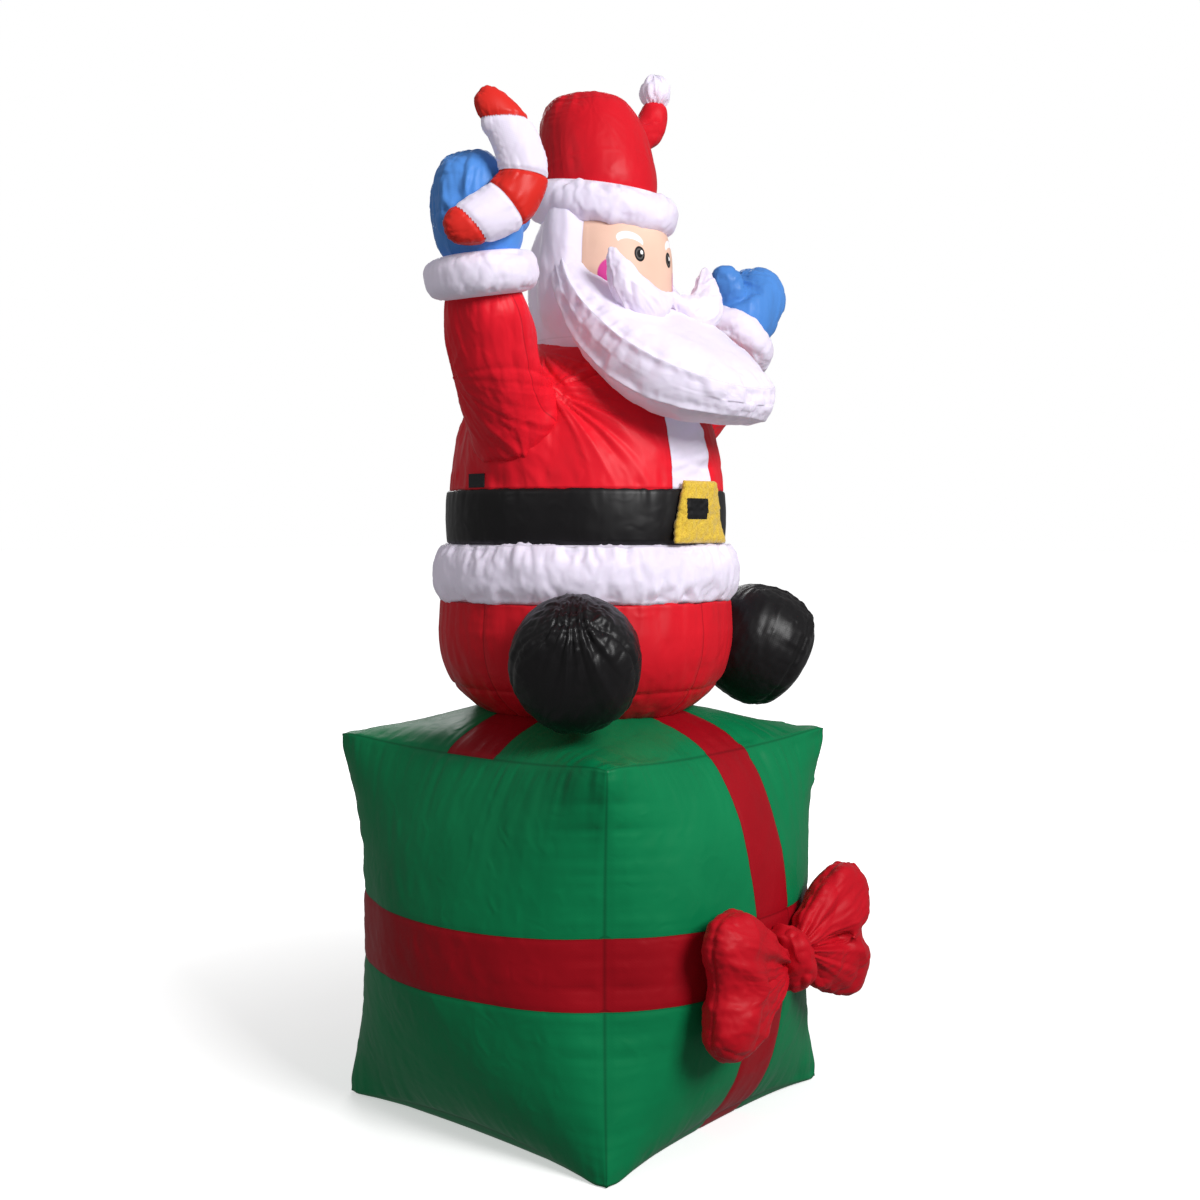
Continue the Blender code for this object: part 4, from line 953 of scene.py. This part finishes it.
ball = tail_tip + ALONG_Z * 0.6 * POMPOM_RADIUS
polar, around = globe(60, 110, oval_outline(POMPOM_RADIUS, 1, POMPOM_RADIUS, 1))
level_reach = np.sin(polar) * POMPOM_RADIUS
points = ball + np.stack([level_reach * np.cos(around), level_reach * np.sin(around),
                          np.cos(polar) * POMPOM_RADIUS], axis=-1)
seam = to_seam(points, points[..., 1] - ball[1])
spokes = np.stack([np.cos(around), np.sin(around), 0.3 * np.cos(polar)], axis=-1)
heights = 0.0050 * creases(spokes, 0.50, 340, 3.0) * np.sin(polar) ** 0.5 + 0.0022 * folds(spokes, 0.30, 342)
closed_cloth("pompom", raised(points, heights), seam[0], [white])

# Arms
# Red sleeves from the shoulders up to fat white cuffs, and blue mittens. A mitten is one bag of
# two panels with its thumb cut in one piece. It is remeshed from palm and thumb, then blown up.
CUFF_RADIUS = 0.088
MITTEN_WIDTH, MITTEN_DEPTH, MITTEN_LENGTH = 0.150, 0.112, 0.178
THUMB_RADIUS, THUMB_LENGTH = 0.031, 0.092
MITTEN_BLUE = (0.080, 0.255, 0.670)
BAG_VOXEL, BAG_CAP, SEAM_TUCK, BAG_FILL, AIR_STEPS = 0.0055, 0.008, 0.14, 0.0035, 20
blue = nylon("blue nylon", MITTEN_BLUE, 0.40, 0.7)


def coordinates(mesh):
    """A mesh's points as an array."""
    spots = np.zeros(len(mesh.vertices) * 3)
    mesh.vertices.foreach_get("co", spots)
    return spots.reshape(-1, 3)


def applied(thing):
    """Turn an object's mesh into what its modifiers make of it, and clear them."""
    mesh = bpy.data.meshes.new_from_object(thing.evaluated_get(bpy.context.evaluated_depsgraph_get()))
    thing.modifiers.clear()
    thing.data = mesh
    return mesh


def blown_bag(name, meshes, middle, palm):
    """One skin round several closed grids: a voxel remesh of them together, filled with air.

    The seam between the two panels lies where (point - middle) . palm is 0. It is gathered by a share
    of SEAM_TUCK while the cloth simulation puffs the panels, and no point moves more than BAG_CAP.
    """
    joined = bpy.data.meshes.new(name)
    spots, faces = [], []
    for points in meshes:
        first = sum(map(len, spots))
        number, _, skin = quads(*points.shape[:2])
        faces += [face.tolist() for face in (*(skin + first), number[0] + first, number[-1][::-1] + first)]
        spots.append(points.reshape(-1, 3))
    joined.from_pydata(np.concatenate(spots).tolist(), [], faces)
    bag = placed(name, joined)
    melt = bag.modifiers.new("Melt", "REMESH")
    melt.mode, melt.voxel_size = "VOXEL", BAG_VOXEL
    relax = bag.modifiers.new("Relax", "SMOOTH")
    relax.factor, relax.iterations = 0.5, 4
    mesh = applied(bag)
    start = coordinates(mesh)
    gathered = bag.vertex_groups.new(name="gathered")
    weights = np.round(10 * near((start - middle) @ palm, 0.009)).astype(int)
    for tenth in range(1, 11):
        gathered.add(np.flatnonzero(weights == tenth).tolist(), tenth / 10, "REPLACE")
    air = bag.modifiers.new("Air", "CLOTH")
    air.settings.quality, air.settings.mass = 6, 0.15
    air.settings.tension_stiffness = air.settings.compression_stiffness = 20
    air.settings.shear_stiffness, air.settings.bending_stiffness = 8, 0.02
    air.settings.use_pressure, air.settings.uniform_pressure_force = True, 3.0
    air.settings.vertex_group_shrink = "gathered"
    air.settings.shrink_min, air.settings.shrink_max = -0.02, SEAM_TUCK
    air.settings.effector_weights.gravity = 0
    air.collision_settings.use_collision = False
    for frame_number in range(1, AIR_STEPS + 1):
        bpy.context.scene.frame_set(frame_number)
    moved = coordinates(bag.evaluated_get(bpy.context.evaluated_depsgraph_get()).data) - start
    bag.modifiers.clear()
    bag.vertex_groups.clear()
    bpy.context.scene.frame_set(1)
    far = np.linalg.norm(moved, axis=1, keepdims=True)
    capped = moved * np.minimum(1, BAG_CAP / np.maximum(far, 1e-9))
    mesh.vertices.foreach_set("co", (start + capped).ravel())
    mesh.update()
    fine = bag.modifiers.new("Fine", "SUBSURF")
    fine.levels = fine.render_levels = 1
    applied(bag)
    return bag


for name in ARMS:
    side, middle, fingers, thumb, palm, root, elbow, wrist = arm(name)

    points = puffed_ring(middle, thumb, palm, fingers, CUFF_RADIUS, CUFF_HEIGHT, 0.8, 80, 240,
                         (0.020, 0.0058, 0.022), 350 + 20 * side)
    closed_cloth("cuff_" + name, points, None, [white])

    points, polar, around = tube(160, 220, bend(root, elbow, wrist), palm, SLEEVE_RADIUS,
                                 lambda share: SLEEVE_RADIUS * (1.06 - 0.10 * share),
                                 5.0, 0.34, SLEEVE_RADIUS)
    wristward = to_seam(points, (points - middle) @ fingers + 0.35 * CUFF_HEIGHT)
    underarm = to_seam(points, np.sin(polar) ** 0.4 * np.sin(around) * SLEEVE_RADIUS)
    heights = gather(wristward, 0.022, 0.0050, 0.045, 370 + side)
    over, under = root + [-side * 0.02, -0.02, 0.06], root + [side * 0.05, -0.03, -0.06]
    heights += fan(points, over, ALONG_Y, ALONG_Z, 0.20, 0.0100, 0.10, 376 + side)
    heights += fan(points, under, ALONG_X, ALONG_Z, 0.22, 0.0045, 0.07, 380 + side)
    off_coat = np.hypot(points[..., 0], points[..., 1]) - coat_radius(points[..., 2])
    heights += FILLET * near(np.clip(off_coat, 0, None), 0.030)
    heights += 0.0028 * crumple(points, 0.070, 384)
    heights += 0.0014 * pulls(points, (side * 0.3, 0.1, 0.9), 0.028, 385)
    heights -= 0.0014 * near(underarm[0], 0.004)
    closed_cloth("sleeve_" + name, raised(points, heights), underarm[0], [coat_nylon])

    start = middle + fingers * (CUFF_HEIGHT / 2 - CUFF_SINK)
    end = start + fingers * MITTEN_LENGTH - thumb * 0.10 * MITTEN_WIDTH
    heel = (start + end) / 2 + thumb * 0.05 * MITTEN_WIDTH
    hand, _, _ = tube(60, 80, bend(start, heel, end), thumb,
                      lambda share: MITTEN_WIDTH / 2 * (1 - 0.22 * np.clip(share, 0, 1) ** 1.5),
                      lambda share: MITTEN_DEPTH / 2 * (1 + 0.16 * np.clip(1 - 3 * share, 0, 1)),
                      3.0, MITTEN_LENGTH, MITTEN_WIDTH / 2)
    knuckle = start + fingers * 0.34 * MITTEN_LENGTH + thumb * 0.12 * MITTEN_WIDTH
    nail = knuckle + thumb * THUMB_LENGTH + fingers * 0.38 * THUMB_LENGTH
    digit, _, _ = tube(40, 50, bend(knuckle, knuckle + thumb * 0.62 * THUMB_LENGTH, nail), palm,
                       THUMB_RADIUS, THUMB_RADIUS, 3.0, THUMB_LENGTH, THUMB_RADIUS)
    mitten = blown_bag("mitten_" + name + "_cloth", [hand, digit], middle, palm)
    mesh = mitten.data
    spots = coordinates(mesh)
    facing = np.zeros(spots.size)
    mesh.vertex_normals.foreach_get("vector", facing)
    facing = facing.reshape(-1, 3)
    off_palm = (spots - middle) @ palm
    feet = spots - np.outer(off_palm, palm)
    distance = np.abs(off_palm) * 1.1
    heights = gather((distance, feet), 0.018, 0.0050, 0.022, 390 + side) + BAG_FILL
    notch = knuckle + thumb * 0.62 * THUMB_LENGTH + fingers * 0.055
    heights += fan(spots, notch, thumb, fingers, 0.3, 0.009, 0.030, 394)
    heel_side = middle + fingers * (CUFF_HEIGHT / 2 + 0.62 * MITTEN_LENGTH) - thumb * 0.55 * MITTEN_WIDTH
    crumpled = near(np.linalg.norm(spots - heel_side, axis=-1), 0.070)
    heights += (0.0009 + 0.0036 * crumpled) * pulls(spots, fingers + 0.5 * thumb, 0.020, 397)
    heights += 0.0018 * crumple(spots, 0.045, 396)
    mesh.vertices.foreach_set("co", (spots + facing * heights[:, None]).ravel())
    corners = np.zeros(len(mesh.loops), np.int32)
    mesh.loops.foreach_get("vertex_index", corners)
    runs = np.stack([spots @ thumb, spots @ fingers], axis=-1)[corners]
    surface(mesh, distance + 0.0006, runs, [blue])
    declare(mitten, "mitten_" + name)

# Candy cane
# A bent bag of orange-red and white nylon panels, sewn across from one to the next. Its hooked
# middle rests in front of the right mitten.
CANE_HEIGHT, CANE_BELLY, CANE_TILT, CANE_TURN = 0.212, 0.094, radians(14), radians(30)
CANE_WIDTH, CANE_DEPTH, CANE_SINK, CANE_ASIDE, CANE_RISE = 0.082, 0.060, 0.012, 0.034, 0.030
CANE_SEAMS, CANE_SLANTS = (0.13, 0.46, 0.70, 0.91), (0.070, 0.0, 0.0, -0.045)
CANE_LENGTH, CANE_BLUNT = 0.29, 3.2    # along its bend
cane_red = nylon("cane red nylon", (0.680, 0.025, 0.018), 0.42, 0.6)
side, middle, fingers, *_ = arm("right")
hand = middle + fingers * (CUFF_HEIGHT / 2 + 0.50 * MITTEN_LENGTH)
facing = np.array([-sin(CANE_TURN), -cos(CANE_TURN), 0.0])
level_way = np.array([cos(CANE_TURN), -sin(CANE_TURN), 0.0])
centre = (hand + facing * (MITTEN_DEPTH / 2 + CANE_DEPTH / 2 - CANE_SINK) - level_way * CANE_ASIDE
          + ALONG_Z * CANE_RISE)
lengthways = ALONG_Z * cos(CANE_TILT) + level_way * sin(CANE_TILT)
sideways = level_way * cos(CANE_TILT) - ALONG_Z * sin(CANE_TILT)
cane_path = bend(centre + lengthways * CANE_HEIGHT / 2, centre + sideways * 2 * CANE_BELLY,
                 centre - lengthways * CANE_HEIGHT / 2)


def cane_swell(share, half):
    """The cane's half width, a little fuller towards its foot."""
    return half * (0.90 + 0.16 * np.clip(share, 0, 1))


points, polar, around = tube(180, 140, cane_path, facing, lambda share: cane_swell(share, CANE_DEPTH / 2),
                             lambda share: cane_swell(share, CANE_WIDTH / 2),
                             CANE_BLUNT, CANE_LENGTH, CANE_WIDTH / 2)
share, reach = rounded(polar, CANE_BLUNT)
heights, nearest = np.zeros(polar.shape), np.full(polar.shape, 1.0)
stripes = np.zeros(share[1:].shape, int)
for number, (stripe, slant) in enumerate(zip(CANE_SEAMS, CANE_SLANTS)):
    past = share - stripe + slant * np.sin(around) * reach
    seam = to_seam(points, CANE_LENGTH * past)
    stripes += past[1:] + past[:-1] > 0
    heights += gather(seam, 0.014, 0.0030, 0.014, 410 + number) - 0.0026 * near(seam[0], 0.004)
    nearest = np.minimum(nearest, seam[0])
rim = to_seam(points, reach * np.cos(around) * CANE_DEPTH / 2)
heights += gather(rim, 0.014, 0.0044, 0.016, 420) + 0.0012 * crumple(points, 0.025, 424)
closed_cloth("candy_cane", raised(points, heights), np.minimum(nearest, rim[0] + 0.0006),
             [cane_red, white], stripes % 2)

# Buckle
# A yellow plush plate tacked over the belt's middle. A black square printed on it is its window.
BUCKLE_TOP, BUCKLE_FOOT, BUCKLE_THICKNESS = 0.084, 0.138, 0.009
WINDOW_WIDTH, WINDOW_HEIGHT, WINDOW_ASIDE, WINDOW_RISE = 0.054, 0.035, 0.018, 0.0055
buckle_low, buckle_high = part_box("buckle")
BELT_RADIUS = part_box("belt")[1].x
plush, plush_shader = fresh("yellow plush")
here = shade(plush, "TexCoord", {}, "Object")
pile = shade(plush, "TexNoise", {"Vector": here, "Scale": 420.0, "Detail": 4.0})
pile_colour = shade(plush, "ValToRGB", {"Fac": pile}, "Color")
pile_ramp = pile_colour.node.color_ramp.elements
pile_ramp[0].position, pile_ramp[1].position = 0.3, 0.7
pile_ramp[0].color, pile_ramp[1].color = (0.52, 0.30, 0.012, 1.0), (0.80, 0.57, 0.050, 1.0)
feed(plush, plush_shader, {
    "Base Color": pile_colour, "Roughness": 0.9, "Sheen Weight": 0.4,
    "Normal": shade(plush, "Bump", {"Height": pile, "Strength": 0.7, "Distance": 0.001})})
window = nylon("window nylon", (0.010, 0.010, 0.011), 0.6, 0.3)

STEPS_ACROSS, STEPS_UP = 72, 60
across_share, up_share = np.meshgrid(np.linspace(-1, 1, STEPS_ACROSS + 1), np.linspace(0, 1, STEPS_UP + 1),
                                     indexing="xy")
height = buckle_low.z + (buckle_high.z - buckle_low.z) * up_share
half = (BUCKLE_FOOT + (BUCKLE_TOP - BUCKLE_FOOT) * up_share) / 2
along = across_share * half
ragged = 0.0016 * crumple(np.stack([along, height, np.zeros_like(height)], axis=-1), 0.006, 430)
flare = 0.010 * np.clip(0.25 - up_share, 0, None) * 4 * across_share ** 2
skin = []
for layer in (1.0, 0.0):
    edge = np.minimum(1 - np.abs(across_share), np.minimum(up_share, 1 - up_share) * 2)
    pillow = BUCKLE_THICKNESS * (0.35 + 0.65 * np.clip(edge * 7, 0, 1) ** 0.5)
    reach = BELT_RADIUS + 0.0035 + flare + (pillow if layer else 0.0) + ragged * layer
    reach = reach + 0.0020 * layer * crumple(np.stack([along, height, along], axis=-1), 0.035, 431)
    turn = (along + ragged * np.sign(across_share) * (np.abs(across_share) > 0.97)) / BELT_RADIUS
    skin.append(np.stack([reach * np.sin(turn), -reach * np.cos(turn), height], axis=-1))
number = np.arange(skin[0][..., 0].size).reshape(height.shape)
front = np.stack([number[:-1, :-1], number[:-1, 1:], number[1:, 1:], number[1:, :-1]], axis=-1)
front = front.reshape(-1, 4)
rim = np.concatenate([number[0], number[1:, -1], number[-1, -2::-1], number[-2:0:-1, 0]])
wall = np.stack([rim, rim + number.size, np.roll(rim, -1) + number.size, np.roll(rim, -1)], axis=-1)
faces = np.concatenate([front, front[:, ::-1] + number.size, wall])
places = np.concatenate([skin[0].reshape(-1, 3), skin[1].reshape(-1, 3)])
flat = np.stack([along.ravel(), height.ravel()], axis=-1)
runs = np.concatenate([flat, flat])[faces].reshape(-1, 2)
middles = places[front].mean(axis=1)
inside = ((np.abs(middles[:, 0] + WINDOW_ASIDE) < WINDOW_WIDTH / 2)
          & (np.abs(middles[:, 2] - (buckle_low.z + buckle_high.z) / 2 - WINDOW_RISE) < WINDOW_HEIGHT / 2))
colours = np.concatenate([inside.astype(int), np.zeros(len(front) + len(wall), int)])
cloth_piece("buckle_plush", "buckle", places, faces.tolist(), np.full(len(places), 1.0),
            runs, [plush, window], colours)

# Tether patch
# A short tab of black webbing, stitched flat on the coat's right side for a guy line.
webbing, web_shader = fresh("black webbing")
here = shade(webbing, "TexCoord", {}, "Object")
ribs = shade(webbing, "TexWave", {"Vector": here, "Scale": 170.0, "Distortion": 0.4}, "Fac",
             bands_direction="Z")
feed(webbing, web_shader, {
    "Base Color": (0.010, 0.010, 0.012, 1.0), "Roughness": ranged(webbing, ribs, 0.0, 1.0, 0.55, 0.85),
    "Normal": shade(webbing, "Bump", {"Height": ribs, "Strength": 0.8, "Distance": 0.0006})})
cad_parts["tether_patch"].data.materials.clear()
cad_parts["tether_patch"].data.materials.append(webbing)
